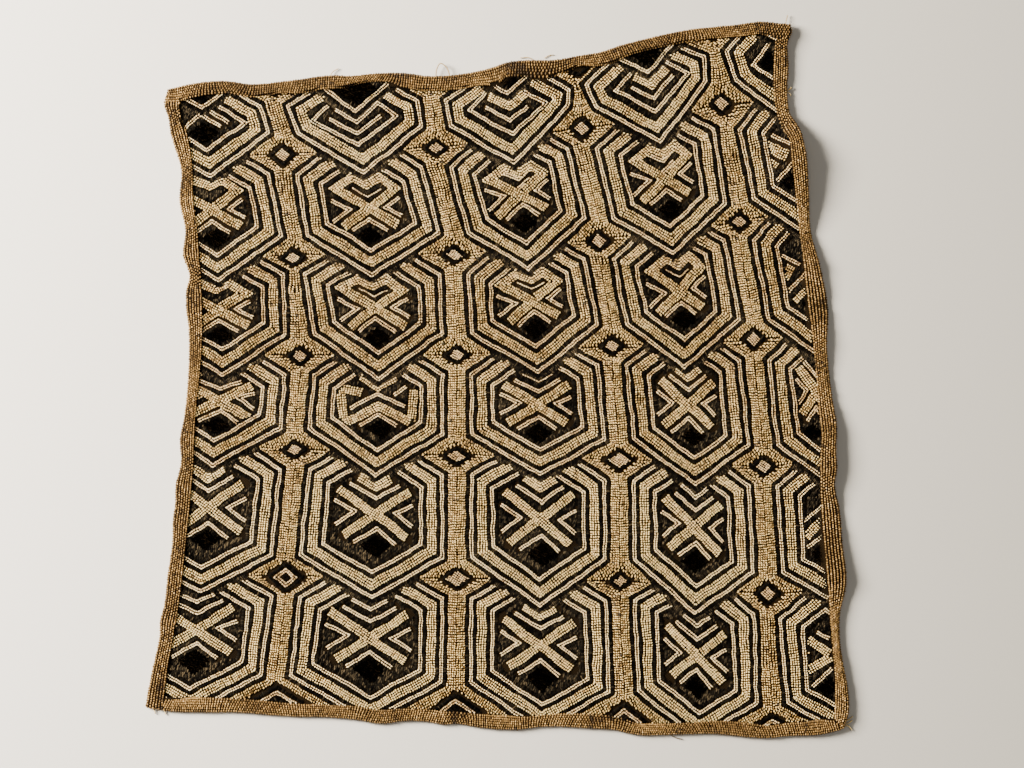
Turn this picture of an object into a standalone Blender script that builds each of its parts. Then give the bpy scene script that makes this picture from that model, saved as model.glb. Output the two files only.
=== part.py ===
"""A hemmed square of raffia cloth, lying face up as it was put down.

The cloth is one piece: the ground weave with its embroidered field, and the
same weave turned over to the face as a hem on all four sides. The left, top
and bottom sides lie flat, and the right side lifts in shallow waves.

Lengths are in millimetres until a point is placed. X runs to the right of
the face, Y to its top and Z up. The origin is on the surface that the cloth
rests on, under the middle of its outline.
"""

from collections import namedtuple

import bmesh
import bpy
import numpy as np

MM = 0.001
COLLECTION_NAME = "kuba raffia cloth"
NODE_NAME = "kuba_cloth"

# Layers.
FIELD_THICK = 2.2
HEM_THICK = 4.0
HEM_SHOULDER_THICK = 3.7
RIM_THICK = 1.1
RIM_HEIGHT = 1.5

# The hem, as distances in from the outer edge.
HEM_SHOULDER = 1.6
HEM_INNER = 9.2
FIELD_START = 10.6

# The grid between the hems.
FIELD_COLUMNS = 44
FIELD_ROWS = 54

# How far in from the right side the waves are felt.
WAVE_REACH = 62.0

CLOTH_COLOUR = (0.36, 0.22, 0.10, 1.0)
CLOTH_ROUGHNESS = 0.85

Point = namedtuple("Point", "x y")
Lift = namedtuple("Lift", "y height")

LEFT_SIDE = [
    Point(-280.3, -261.2),
    Point(-277.4, -244.0),
    Point(-272.0, -219.0),
    Point(-269.0, -205.0),
    Point(-268.4, -191.0),
    Point(-266.3, -184.0),
    Point(-262.4, -154.2),
    Point(-258.7, -129.0),
    Point(-258.4, -112.0),
    Point(-256.6, -98.0),
    Point(-256.4, -86.0),
    Point(-252.0, -66.0),
    Point(-252.7, -46.0),
    Point(-249.6, -31.0),
    Point(-247.0, -8.0),
    Point(-245.5, 24.0),
    Point(-245.9, 42.0),
    Point(-247.9, 58.0),
    Point(-247.5, 73.0),
    Point(-245.2, 81.5),
    Point(-250.3, 100.8),
    Point(-248.4, 118.5),
    Point(-253.1, 144.0),
    Point(-251.6, 166.0),
    Point(-260.1, 197.0),
    Point(-262.4, 211.0),
    Point(-265.2, 219.5),
    Point(-262.6, 232.0),
]

TOP_SIDE = [
    Point(-262.6, 232.0),
    Point(-239.0, 237.3),
    Point(-217.0, 238.7),
    Point(-198.0, 236.2),
    Point(-165.4, 239.0),
    Point(-128.6, 243.2),
    Point(-119.0, 242.7),
    Point(-98.2, 244.6),
    Point(-72.0, 244.8),
    Point(-57.0, 242.7),
    Point(-24.6, 244.7),
    Point(-5.0, 249.0),
    Point(11.4, 254.2),
    Point(21.0, 255.1),
    Point(47.0, 255.6),
    Point(69.0, 259.4),
    Point(82.0, 261.5),
    Point(99.4, 267.2),
    Point(118.0, 272.0),
    Point(155.0, 279.8),
    Point(190.0, 283.4),
    Point(216.0, 285.6),
    Point(224.2, 284.5),
    Point(234.1, 283.6),
]

BOTTOM_SIDE = [
    Point(-280.3, -261.2),
    Point(-265.0, -263.9),
    Point(-232.0, -265.3),
    Point(-212.0, -265.1),
    Point(-187.0, -266.9),
    Point(-160.0, -268.7),
    Point(-138.0, -269.1),
    Point(-112.0, -271.2),
    Point(-90.0, -274.4),
    Point(-76.0, -272.4),
    Point(-57.0, -272.5),
    Point(-42.0, -275.0),
    Point(-32.0, -274.4),
    Point(-17.0, -276.9),
    Point(4.0, -279.0),
    Point(21.0, -278.9),
    Point(31.0, -277.3),
    Point(78.0, -278.3),
    Point(94.0, -279.3),
    Point(110.0, -283.0),
    Point(140.0, -283.1),
    Point(178.0, -282.7),
    Point(205.0, -285.5),
    Point(220.0, -285.7),
    Point(232.0, -284.3),
    Point(259.0, -283.0),
    Point(270.5, -280.4),
    Point(276.9, -278.0),
]

RIGHT_SIDE = [
    Point(276.9, -278.0),
    Point(280.6, -266.0),
    Point(280.2, -248.0),
    Point(276.4, -228.0),
    Point(273.7, -206.0),
    Point(273.6, -188.0),
    Point(278.4, -164.0),
    Point(275.4, -128.0),
    Point(273.6, -104.0),
    Point(269.5, -83.0),
    Point(271.1, -71.0),
    Point(270.2, -56.0),
    Point(271.0, -38.0),
    Point(267.6, -14.0),
    Point(264.3, 14.0),
    Point(263.2, 26.0),
    Point(264.3, 56.0),
    Point(258.2, 89.0),
    Point(250.2, 120.0),
    Point(248.2, 150.0),
    Point(245.1, 184.0),
    Point(240.2, 202.0),
    Point(233.8, 212.4),
    Point(231.8, 225.6),
    Point(232.6, 252.0),
    Point(232.1, 270.0),
    Point(235.2, 279.0),
    Point(234.1, 283.6),
]

# How high the underside of the right side stands, from bottom to top.
RIGHT_WAVES = [
    Lift(-286.0, 0.6),
    Lift(-268.0, 2.0),
    Lift(-228.0, 2.0),
    Lift(-208.0, 1.0),
    Lift(-176.0, 1.5),
    Lift(-156.0, 4.0),
    Lift(-128.0, 2.0),
    Lift(-104.0, 0.0),
    Lift(-80.0, 3.5),
    Lift(-56.0, 5.0),
    Lift(-35.0, 3.5),
    Lift(-12.0, 0.6),
    Lift(6.0, 0.0),
    Lift(32.0, 2.5),
    Lift(59.0, 0.0),
    Lift(94.0, 3.0),
    Lift(119.0, 0.5),
    Lift(132.0, 3.5),
    Lift(152.0, 7.5),
    Lift(180.0, 11.0),
    Lift(195.0, 9.0),
    Lift(212.0, 2.0),
    Lift(232.0, 1.0),
    Lift(256.0, 1.5),
    Lift(276.0, 3.0),
    Lift(286.0, 3.0),
]


def remove_old_objects():
    """Clear the scene's objects."""
    for obj in list(bpy.data.objects):
        bpy.data.objects.remove(obj, do_unlink=True)


def curve_points(points, fractions):
    """Read a smooth curve through the points at fractions of its length."""
    knots = np.array(points, dtype=float)
    chords = np.linalg.norm(np.diff(knots, axis=0), axis=1)
    lengths = np.concatenate(([0.0], np.cumsum(chords)))
    slopes = np.gradient(knots, lengths, axis=0)
    wanted = np.asarray(fractions, dtype=float) * lengths[-1]
    span = np.clip(np.searchsorted(lengths, wanted, side="right") - 1, 0, len(chords) - 1)
    step = chords[span][:, None]
    t = ((wanted - lengths[span]) / chords[span])[:, None]
    from_knot = (1 + 2 * t) * (1 - t) ** 2 * knots[span] + t * (1 - t) ** 2 * step * slopes[span]
    to_knot = t ** 2 * (3 - 2 * t) * knots[span + 1] + t ** 2 * (t - 1) * step * slopes[span + 1]
    return from_knot + to_knot


def side_length(points):
    """The length of a side along its points."""
    return float(np.linalg.norm(np.diff(np.array(points, dtype=float), axis=0), axis=1).sum())


def grid_fractions(length, field_steps):
    """Fractions of a side at which the grid has a line: both hems and the field."""
    hem = np.array([0.0, HEM_SHOULDER, HEM_INNER, FIELD_START])
    field = np.linspace(FIELD_START, length - FIELD_START, field_steps + 1)[1:-1]
    return np.concatenate((hem, field, length - hem[::-1])) / length


def wave_height(y, from_right_side):
    """Height of the underside over the surface at a place near the right side."""
    crest = np.interp(y, [row.y for row in RIGHT_WAVES], [row.height for row in RIGHT_WAVES])
    nearness = np.clip(1.0 - from_right_side / WAVE_REACH, 0.0, 1.0)
    return crest * nearness ** 2 * (3.0 - 2.0 * nearness)


def cloth_patch(across, along):
    """Places of the grid's points between the four sides, by column and row."""
    left = curve_points(LEFT_SIDE, along)
    right = curve_points(RIGHT_SIDE, along)
    top = curve_points(TOP_SIDE, across)
    bottom = curve_points(BOTTOM_SIDE, across)
    u = across[:, None, None]
    v = along[None, :, None]
    between_sides = (1 - u) * left[None] + u * right[None]
    between_ends = (1 - v) * bottom[:, None] + v * top[:, None]
    lower = (1 - u) * left[0] + u * right[0]
    upper = (1 - u) * left[-1] + u * right[-1]
    return between_sides + between_ends - (1 - v) * lower - v * upper


def cloth_mesh():
    """The underside of the cloth as an open sheet, and the thickness at each of its points."""
    width = 0.5 * (side_length(TOP_SIDE) + side_length(BOTTOM_SIDE))
    height = 0.5 * (side_length(LEFT_SIDE) + side_length(RIGHT_SIDE))
    across = grid_fractions(width, FIELD_COLUMNS)
    along = grid_fractions(height, FIELD_ROWS)
    patch = cloth_patch(across, along)
    columns = len(across) - 1
    rows = len(along) - 1
    thick_by_step = [RIM_THICK, HEM_SHOULDER_THICK, HEM_THICK, FIELD_THICK]
    rise_by_step = [RIM_HEIGHT, 0.0, 0.0, 0.0]

    bm = bmesh.new()
    bmesh.ops.create_grid(bm, x_segments=columns, y_segments=rows, size=0.5)
    bm.verts.ensure_lookup_table()
    thickness = []
    for vert in bm.verts:
        column = round((vert.co.x + 0.5) * columns)
        row = round((vert.co.y + 0.5) * rows)
        steps_in = min(column, columns - column, row, rows - row, 3)
        x, y = patch[column, row]
        lift = wave_height(y, (1.0 - across[column]) * width)
        vert.co = (x, y, rise_by_step[steps_in] + lift)
        thickness.append(thick_by_step[steps_in])
    place_over_origin(bm)
    bmesh.ops.scale(bm, vec=(MM, MM, MM), verts=bm.verts)
    mesh = bpy.data.meshes.new(NODE_NAME)
    bm.to_mesh(mesh)
    bm.free()
    mesh.shade_smooth()
    return mesh, thickness


def place_over_origin(bm):
    """Centre the sheet's outline on the origin."""
    places = np.array([vert.co[:] for vert in bm.verts])
    middle = 0.5 * (places.min(axis=0) + places.max(axis=0))
    bmesh.ops.translate(bm, vec=(-middle[0], -middle[1], 0.0), verts=bm.verts)


def raffia_material():
    """Plain tan raffia."""
    material = bpy.data.materials.new("raffia")
    material.use_nodes = True
    shader = material.node_tree.nodes["Principled BSDF"]
    shader.inputs["Base Color"].default_value = CLOTH_COLOUR
    shader.inputs["Roughness"].default_value = CLOTH_ROUGHNESS
    shader.inputs["Metallic"].default_value = 0.0
    return material


def build_cloth(collection):
    """The whole cloth: its underside thickened by the layers at each place."""
    mesh, thickness = cloth_mesh()
    cloth = bpy.data.objects.new(NODE_NAME, mesh)
    collection.objects.link(cloth)
    layers = cloth.vertex_groups.new(name="layers")
    for index, thick in enumerate(thickness):
        layers.add([index], thick / HEM_THICK, "REPLACE")
    solid = cloth.modifiers.new("layers", "SOLIDIFY")
    solid.thickness = HEM_THICK * MM
    solid.offset = 1.0
    solid.vertex_group = layers.name
    cloth.data.materials.append(raffia_material())
    return cloth


def main():
    remove_old_objects()
    collection = bpy.data.collections.new(COLLECTION_NAME)
    bpy.context.scene.collection.children.link(collection)
    build_cloth(collection)


main()
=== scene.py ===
"""A hemmed square of Kuba raffia cloth, embroidered all over its face.

The ground is one sheet of plain woven raffia, turned over to the face as a
hem on its four sides. Its field is covered with rows of stem stitch in
natural and in black raffia, and with small patches of cut pile. The pattern
is a column of shields, each of which passes over the one below it, with a
small lozenge where four of them meet.

Lengths are in millimetres until a mesh is made. X runs to the right of the
face, Y to its top and Z up.
"""

import logging
import math
from collections import namedtuple
from dataclasses import dataclass, field, replace
from enum import Enum

import bmesh
import bpy
import numpy as np
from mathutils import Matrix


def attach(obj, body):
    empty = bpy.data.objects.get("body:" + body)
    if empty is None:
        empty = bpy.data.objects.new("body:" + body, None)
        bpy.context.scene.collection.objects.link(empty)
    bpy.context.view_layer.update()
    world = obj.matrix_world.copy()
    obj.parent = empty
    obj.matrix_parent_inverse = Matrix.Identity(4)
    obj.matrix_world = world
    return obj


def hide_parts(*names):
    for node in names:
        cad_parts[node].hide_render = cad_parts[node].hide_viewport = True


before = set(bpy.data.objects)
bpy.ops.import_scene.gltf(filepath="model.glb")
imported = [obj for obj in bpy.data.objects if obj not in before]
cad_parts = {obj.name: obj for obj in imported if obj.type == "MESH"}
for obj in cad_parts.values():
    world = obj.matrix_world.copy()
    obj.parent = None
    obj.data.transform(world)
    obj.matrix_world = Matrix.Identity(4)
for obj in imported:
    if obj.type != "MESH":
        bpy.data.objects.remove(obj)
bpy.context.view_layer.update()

logging.basicConfig(level=logging.INFO, format="%(message)s")
LOG = logging.getLogger("cloth")

MM = 0.001
CLOTH_NODE = "kuba_cloth"
SEED = 41

# One pixel of the photograph on the surface, and the pixel over the origin.
PIXEL = 0.8
ORIGIN_RIGHT = 496.7
ORIGIN_DOWN = 380.0

# Layers over the underside.
GROUND_TOP = 1.1
STITCH_BASE = 0.95
HEM_TOP = 3.25
RIM_MIDDLE = 1.8

# Sides of the field's grid, and how far in from the right side the waves are felt.
FIELD_COLUMNS = 86
FIELD_ROWS = 92
WAVE_REACH = 62.0

Point = namedtuple("Point", "x y")
Lift = namedtuple("Lift", "y height")
Spot = namedtuple("Spot", "right down")

LEFT_SIDE = [
    Point(-280.3, -261.2),
    Point(-277.4, -244.0),
    Point(-272.0, -219.0),
    Point(-269.0, -205.0),
    Point(-268.4, -191.0),
    Point(-266.3, -184.0),
    Point(-262.4, -154.2),
    Point(-258.7, -129.0),
    Point(-258.4, -112.0),
    Point(-256.6, -98.0),
    Point(-256.4, -86.0),
    Point(-252.0, -66.0),
    Point(-252.7, -46.0),
    Point(-249.6, -31.0),
    Point(-247.0, -8.0),
    Point(-245.5, 24.0),
    Point(-245.9, 42.0),
    Point(-247.9, 58.0),
    Point(-247.5, 73.0),
    Point(-245.2, 81.5),
    Point(-250.3, 100.8),
    Point(-248.4, 118.5),
    Point(-253.1, 144.0),
    Point(-251.6, 166.0),
    Point(-260.1, 197.0),
    Point(-262.4, 211.0),
    Point(-265.2, 219.5),
    Point(-262.6, 232.0),
]

TOP_SIDE = [
    Point(-262.6, 232.0),
    Point(-239.0, 237.3),
    Point(-217.0, 238.7),
    Point(-198.0, 236.2),
    Point(-165.4, 239.0),
    Point(-128.6, 243.2),
    Point(-119.0, 242.7),
    Point(-98.2, 244.6),
    Point(-72.0, 244.8),
    Point(-57.0, 242.7),
    Point(-24.6, 244.7),
    Point(-5.0, 249.0),
    Point(11.4, 254.2),
    Point(21.0, 255.1),
    Point(47.0, 255.6),
    Point(69.0, 259.4),
    Point(82.0, 261.5),
    Point(99.4, 267.2),
    Point(118.0, 272.0),
    Point(155.0, 279.8),
    Point(190.0, 283.4),
    Point(216.0, 285.6),
    Point(224.2, 284.5),
    Point(234.1, 283.6),
]

BOTTOM_SIDE = [
    Point(-280.3, -261.2),
    Point(-265.0, -263.9),
    Point(-232.0, -265.3),
    Point(-212.0, -265.1),
    Point(-187.0, -266.9),
    Point(-160.0, -268.7),
    Point(-138.0, -269.1),
    Point(-112.0, -271.2),
    Point(-90.0, -274.4),
    Point(-76.0, -272.4),
    Point(-57.0, -272.5),
    Point(-42.0, -275.0),
    Point(-32.0, -274.4),
    Point(-17.0, -276.9),
    Point(4.0, -279.0),
    Point(21.0, -278.9),
    Point(31.0, -277.3),
    Point(78.0, -278.3),
    Point(94.0, -279.3),
    Point(110.0, -283.0),
    Point(140.0, -283.1),
    Point(178.0, -282.7),
    Point(205.0, -285.5),
    Point(220.0, -285.7),
    Point(232.0, -284.3),
    Point(259.0, -283.0),
    Point(270.5, -280.4),
    Point(276.9, -278.0),
]

RIGHT_SIDE = [
    Point(276.9, -278.0),
    Point(280.6, -266.0),
    Point(280.2, -248.0),
    Point(276.4, -228.0),
    Point(273.7, -206.0),
    Point(273.6, -188.0),
    Point(278.4, -164.0),
    Point(275.4, -128.0),
    Point(273.6, -104.0),
    Point(269.5, -83.0),
    Point(271.1, -71.0),
    Point(270.2, -56.0),
    Point(271.0, -38.0),
    Point(267.6, -14.0),
    Point(264.3, 14.0),
    Point(263.2, 26.0),
    Point(264.3, 56.0),
    Point(258.2, 89.0),
    Point(250.2, 120.0),
    Point(248.2, 150.0),
    Point(245.1, 184.0),
    Point(240.2, 202.0),
    Point(233.8, 212.4),
    Point(231.8, 225.6),
    Point(232.6, 252.0),
    Point(232.1, 270.0),
    Point(235.2, 279.0),
    Point(234.1, 283.6),
]

# How high the underside of the right side stands, from bottom to top.
RIGHT_WAVES = [
    Lift(-286.0, 0.6),
    Lift(-268.0, 2.0),
    Lift(-228.0, 2.0),
    Lift(-208.0, 1.0),
    Lift(-176.0, 1.5),
    Lift(-156.0, 4.0),
    Lift(-128.0, 2.0),
    Lift(-104.0, 0.0),
    Lift(-80.0, 3.5),
    Lift(-56.0, 5.0),
    Lift(-35.0, 3.5),
    Lift(-12.0, 0.6),
    Lift(6.0, 0.0),
    Lift(32.0, 2.5),
    Lift(59.0, 0.0),
    Lift(94.0, 3.0),
    Lift(119.0, 0.5),
    Lift(132.0, 3.5),
    Lift(152.0, 7.5),
    Lift(180.0, 11.0),
    Lift(195.0, 9.0),
    Lift(212.0, 2.0),
    Lift(232.0, 1.0),
    Lift(256.0, 1.5),
    Lift(276.0, 3.0),
    Lift(286.0, 3.0),
]

# Where the hems end on the face, read from the photograph.
LEFT_HEM_EDGE = [
    Spot(163.6, 708),
    Spot(165.5, 690),
    Spot(168.5, 666),
    Spot(178, 613),
    Spot(187, 538),
    Spot(193.6, 470),
    Spot(196.5, 406),
    Spot(202, 354),
    Spot(201.7, 277),
    Spot(198.4, 235),
    Spot(193.6, 200),
    Spot(193.2, 171),
    Spot(190, 145),
    Spot(186, 130),
    Spot(182, 120),
    Spot(181, 104),
]

TOP_HEM_EDGE = [
    Spot(181, 101),
    Spot(197, 98),
    Spot(214, 95),
    Spot(232, 94),
    Spot(249, 97.5),
    Spot(264, 96),
    Spot(277, 94),
    Spot(301, 94),
    Spot(314, 91),
    Spot(342, 88),
    Spot(360, 84),
    Spot(386, 83),
    Spot(396, 87),
    Spot(413, 90),
    Spot(439, 91),
    Spot(456, 90),
    Spot(472, 87),
    Spot(491, 85),
    Spot(502, 82),
    Spot(516, 77),
    Spot(547, 78),
    Spot(558, 74),
    Spot(572, 68),
    Spot(594, 67),
    Spot(612, 63),
    Spot(634, 54),
    Spot(669, 46),
    Spot(691, 41.5),
    Spot(716, 39),
    Spot(742, 37),
    Spot(761, 35),
    Spot(775, 38.5),
]

BOTTOM_HEM_EDGE = [
    Spot(164, 697),
    Spot(210, 697),
    Spot(232, 698),
    Spot(254, 699.5),
    Spot(290, 703),
    Spot(339, 705),
    Spot(358, 706),
    Spot(372, 709),
    Spot(408, 708),
    Spot(430, 710),
    Spot(465, 712),
    Spot(490, 714),
    Spot(537, 715),
    Spot(563, 713),
    Spot(609, 716),
    Spot(635, 722),
    Spot(690, 722),
    Spot(717, 720),
    Spot(744, 722),
    Spot(764, 725),
    Spot(784, 723),
    Spot(804, 721),
    Spot(832, 717),
]

RIGHT_HEM_EDGE = [
    Spot(833, 717),
    Spot(834, 705),
    Spot(826.5, 585),
    Spot(820, 494),
    Spot(819, 458),
    Spot(820.6, 440),
    Spot(818, 409),
    Spot(816, 378),
    Spot(808, 310),
    Spot(799, 230),
    Spot(789, 150),
    Spot(788, 140),
    Spot(779, 122),
    Spot(774.5, 103),
    Spot(773, 82),
    Spot(774, 51),
    Spot(775, 39),
]

# Centres of the lozenges from top to bottom, each row from left to right.
LOZENGE_ROWS = {
    -2: (Spot(269, -10), Spot(425, -20), Spot(566, -38), Spot(706, -60)),
    -1: (Spot(274.6, 87), Spot(431.7, 81.6), Spot(577, 68), Spot(715, 35)),
    0: (Spot(283, 155), Spot(436, 148), Spot(582, 129), Spot(721, 103)),
    1: (Spot(293, 258), Spot(454, 255), Spot(599, 240), Spot(739, 221)),
    2: (Spot(300, 356), Spot(457, 355), Spot(612, 346), Spot(754, 341)),
    3: (Spot(295, 450), Spot(457, 456), Spot(619, 461), Spot(763, 467)),
    4: (Spot(286, 577), Spot(457, 579), Spot(620, 581), Spot(768, 594)),
    5: (Spot(276, 697), Spot(456, 704), Spot(624, 713), Spot(772, 724)),
}

# Half width and half height of a lozenge's black outline, and how far it lies
# below the place where the strips meet, in pixels.
LozengeSize = namedtuple("LozengeSize", "row column half_right half_down low")
LOZENGE_SIZES = [
    LozengeSize(-1, 3, 12, 9, -5),
    LozengeSize(0, 0, 13.7, 12, 0),
    LozengeSize(0, 1, 14, 9.3, 0),
    LozengeSize(0, 2, 12.3, 12, 0),
    LozengeSize(0, 3, 12, 11.5, 1),
    LozengeSize(1, 1, 14.5, 10.5, 0),
    LozengeSize(1, 2, 14, 11, 1),
    LozengeSize(1, 3, 12, 11, 1),
    LozengeSize(2, 3, 12.5, 11, -1),
    LozengeSize(3, 1, 16, 10.3, 0),
    LozengeSize(3, 2, 17, 12, -1),
    LozengeSize(3, 3, 14, 11, -1),
    LozengeSize(4, 0, 20, 15, 0),
    LozengeSize(4, 1, 17, 11, 0),
    LozengeSize(4, 2, 13, 9, 0),
    LozengeSize(4, 3, 13.5, 12, 0),
    LozengeSize(5, 0, 31, 19, 6),
    LozengeSize(5, 1, 27, 20, 8.5),
    LozengeSize(5, 2, 25, 20, 9),
    LozengeSize(5, 3, 22, 15, 4),
]
USUAL_LOZENGE = LozengeSize(0, 0, 14.5, 10, 0)
# A lozenge as high as this has a black middle inside its light rows.
BLACK_MIDDLE_FROM = 11.0

# Corners of shields that lie away from the repeat, in the photograph.
Corner = namedtuple("Corner", "row column name spot")
CORNERS = [
    Corner(0, 2, "upper right", Spot(568.3, 90)),
    Corner(0, 3, "upper left", Spot(585.8, 85)),
    Corner(0, 3, "upper right", Spot(703.3, 57.1)),
    Corner(0, 4, "upper left", Spot(726.9, 51.6)),
    Corner(1, 0, "lower right", Spot(281.3, 235.6)),
    Corner(1, 3, "upper right", Spot(713.5, 130)),
    Corner(1, 3, "lower right", Spot(725, 203.3)),
    Corner(1, 4, "upper left", Spot(740, 130)),
    Corner(2, 0, "upper right", Spot(283.5, 274.4)),
    Corner(2, 1, "upper left", Spot(304.8, 274.4)),
    Corner(5, 4, "upper left", Spot(780.2, 618.2)),
]

# The column beyond the last lozenges is this much nearer than the others.
RIGHT_EXTRA_PITCH = 118.0


class Motif(Enum):
    """What fills the middle of a shield."""

    PLAIN = "only its bands"
    SPIRAL = "a hooked line"
    CROSS = "a cross with chevrons"
    HEART = "a band looped like a heart over half a cross"
    CHARTED = "bars that follow no repeat"


# A shield's own apex, where its cross meets, its patch of pile with half sizes,
# its motif, and the rows of the upper chevron (or of the thread in a heart).
ShieldSpot = namedtuple("ShieldSpot", "row column apex centre pile pile_right pile_down motif extra")
SHIELDS = [
    ShieldSpot(-1, 0, Spot(202, 108), None, Spot(202, 100), 9, 6, Motif.PLAIN, 0),
    ShieldSpot(-1, 1, Spot(355.7, 111), None, Spot(357, 91), 26, 14, Motif.PLAIN, 0),
    ShieldSpot(-1, 2, Spot(507, 93), None, Spot(508, 76), 20, 12, Motif.PLAIN, 0),
    ShieldSpot(-1, 3, Spot(648, 72), None, Spot(648, 54), 20, 12, Motif.PLAIN, 0),
    ShieldSpot(-1, 4, Spot(776, 40), None, None, 0, 0, Motif.PLAIN, 0),
    ShieldSpot(0, 0, Spot(211, 176), Spot(200, 118), Spot(204.1, 133.5), 16, 12.5, Motif.SPIRAL, 0),
    ShieldSpot(0, 1, Spot(364, 173), Spot(358, 120), None, 0, 0, Motif.SPIRAL, 0),
    ShieldSpot(0, 2, Spot(514, 163), Spot(511, 108), None, 0, 0, Motif.SPIRAL, 0),
    ShieldSpot(0, 3, Spot(660, 142), Spot(654, 84), None, 0, 0, Motif.SPIRAL, 0),
    ShieldSpot(0, 4, Spot(786, 118), Spot(783, 66), Spot(767, 62), 11, 14, Motif.SPIRAL, 0),
    ShieldSpot(1, 0, Spot(219, 280), Spot(211.5, 210), Spot(216, 239), 15, 12, Motif.HEART, 0),
    ShieldSpot(1, 1, Spot(372, 275), Spot(368.5, 209), Spot(370, 236), 13, 11, Motif.HEART, 1),
    ShieldSpot(1, 2, Spot(529, 269), Spot(522, 193), Spot(524.5, 223), 13, 11, Motif.HEART, 3),
    ShieldSpot(1, 3, Spot(673, 253), Spot(666, 178), Spot(670.5, 209), 13, 11, Motif.HEART, 3),
    ShieldSpot(1, 4, Spot(803, 232), Spot(797, 158), Spot(788, 182), 9, 10, Motif.CHARTED, 0),
    ShieldSpot(2, 0, Spot(223, 375), Spot(217.6, 310), Spot(220, 336), 15, 11, Motif.HEART, 0),
    ShieldSpot(2, 1, Spot(379, 379), Spot(375, 308), Spot(378, 337), 13, 11, Motif.HEART, 1),
    ShieldSpot(2, 2, Spot(538, 372), Spot(533, 300.5), Spot(535.5, 329), 13, 11, Motif.HEART, 1),
    ShieldSpot(2, 3, Spot(685, 367), Spot(680.5, 290.5), Spot(683.5, 320), 13, 11, Motif.HEART, 1),
    ShieldSpot(2, 4, Spot(814, 352), Spot(810, 279), Spot(809, 302), 8, 11, Motif.CHARTED, 0),
    ShieldSpot(3, 0, Spot(213, 465), Spot(221, 396), Spot(216, 424.5), 13, 10, Motif.CROSS, 0),
    ShieldSpot(3, 1, Spot(376, 475), Spot(378.6, 392), Spot(380.8, 428.7), 14, 10.5, Motif.CHARTED, 0),
    ShieldSpot(3, 2, Spot(540, 474), Spot(538.5, 402), Spot(538.5, 433.5), 13.5, 11.5, Motif.CROSS, 1),
    ShieldSpot(3, 3, Spot(695, 484), Spot(688.4, 401.6), Spot(693.5, 436), 13, 11, Motif.CROSS, 3),
    ShieldSpot(3, 4, Spot(821, 476), Spot(816.7, 390), Spot(812, 433), 11, 10, Motif.CROSS, 0),
    ShieldSpot(4, 0, Spot(201, 591), Spot(208.3, 505), Spot(206, 538.5), 16, 12, Motif.CROSS, 4),
    ShieldSpot(4, 1, Spot(372, 597), Spot(376.6, 510.8), Spot(376, 545.5), 16, 13, Motif.CROSS, 4),
    ShieldSpot(4, 2, Spot(540, 605), Spot(541.7, 517.7), Spot(543, 554), 16, 13, Motif.CROSS, 4),
    ShieldSpot(4, 3, Spot(695, 613), Spot(695.6, 524.4), Spot(695, 561), 15, 13, Motif.CROSS, 2),
    ShieldSpot(4, 4, Spot(829, 598), Spot(829, 515), Spot(822, 553), 12, 13, Motif.CHARTED, 0),
    ShieldSpot(5, 0, Spot(190, 712), Spot(197.2, 625.3), Spot(194, 661), 17, 13, Motif.CROSS, 2),
    ShieldSpot(5, 1, Spot(370, 721), Spot(370.6, 634.7), Spot(370, 668), 18, 15, Motif.CROSS, 2),
    ShieldSpot(5, 2, Spot(541, 729), Spot(540.3, 642.2), Spot(542, 678), 16, 15, Motif.CROSS, 3),
    ShieldSpot(5, 3, Spot(698, 738), Spot(696.4, 653.3), Spot(698, 685), 14, 14, Motif.CROSS, 2),
    ShieldSpot(5, 4, Spot(833, 728), Spot(833, 648), Spot(826, 686), 11, 13, Motif.CHARTED, 0),
]

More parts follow.
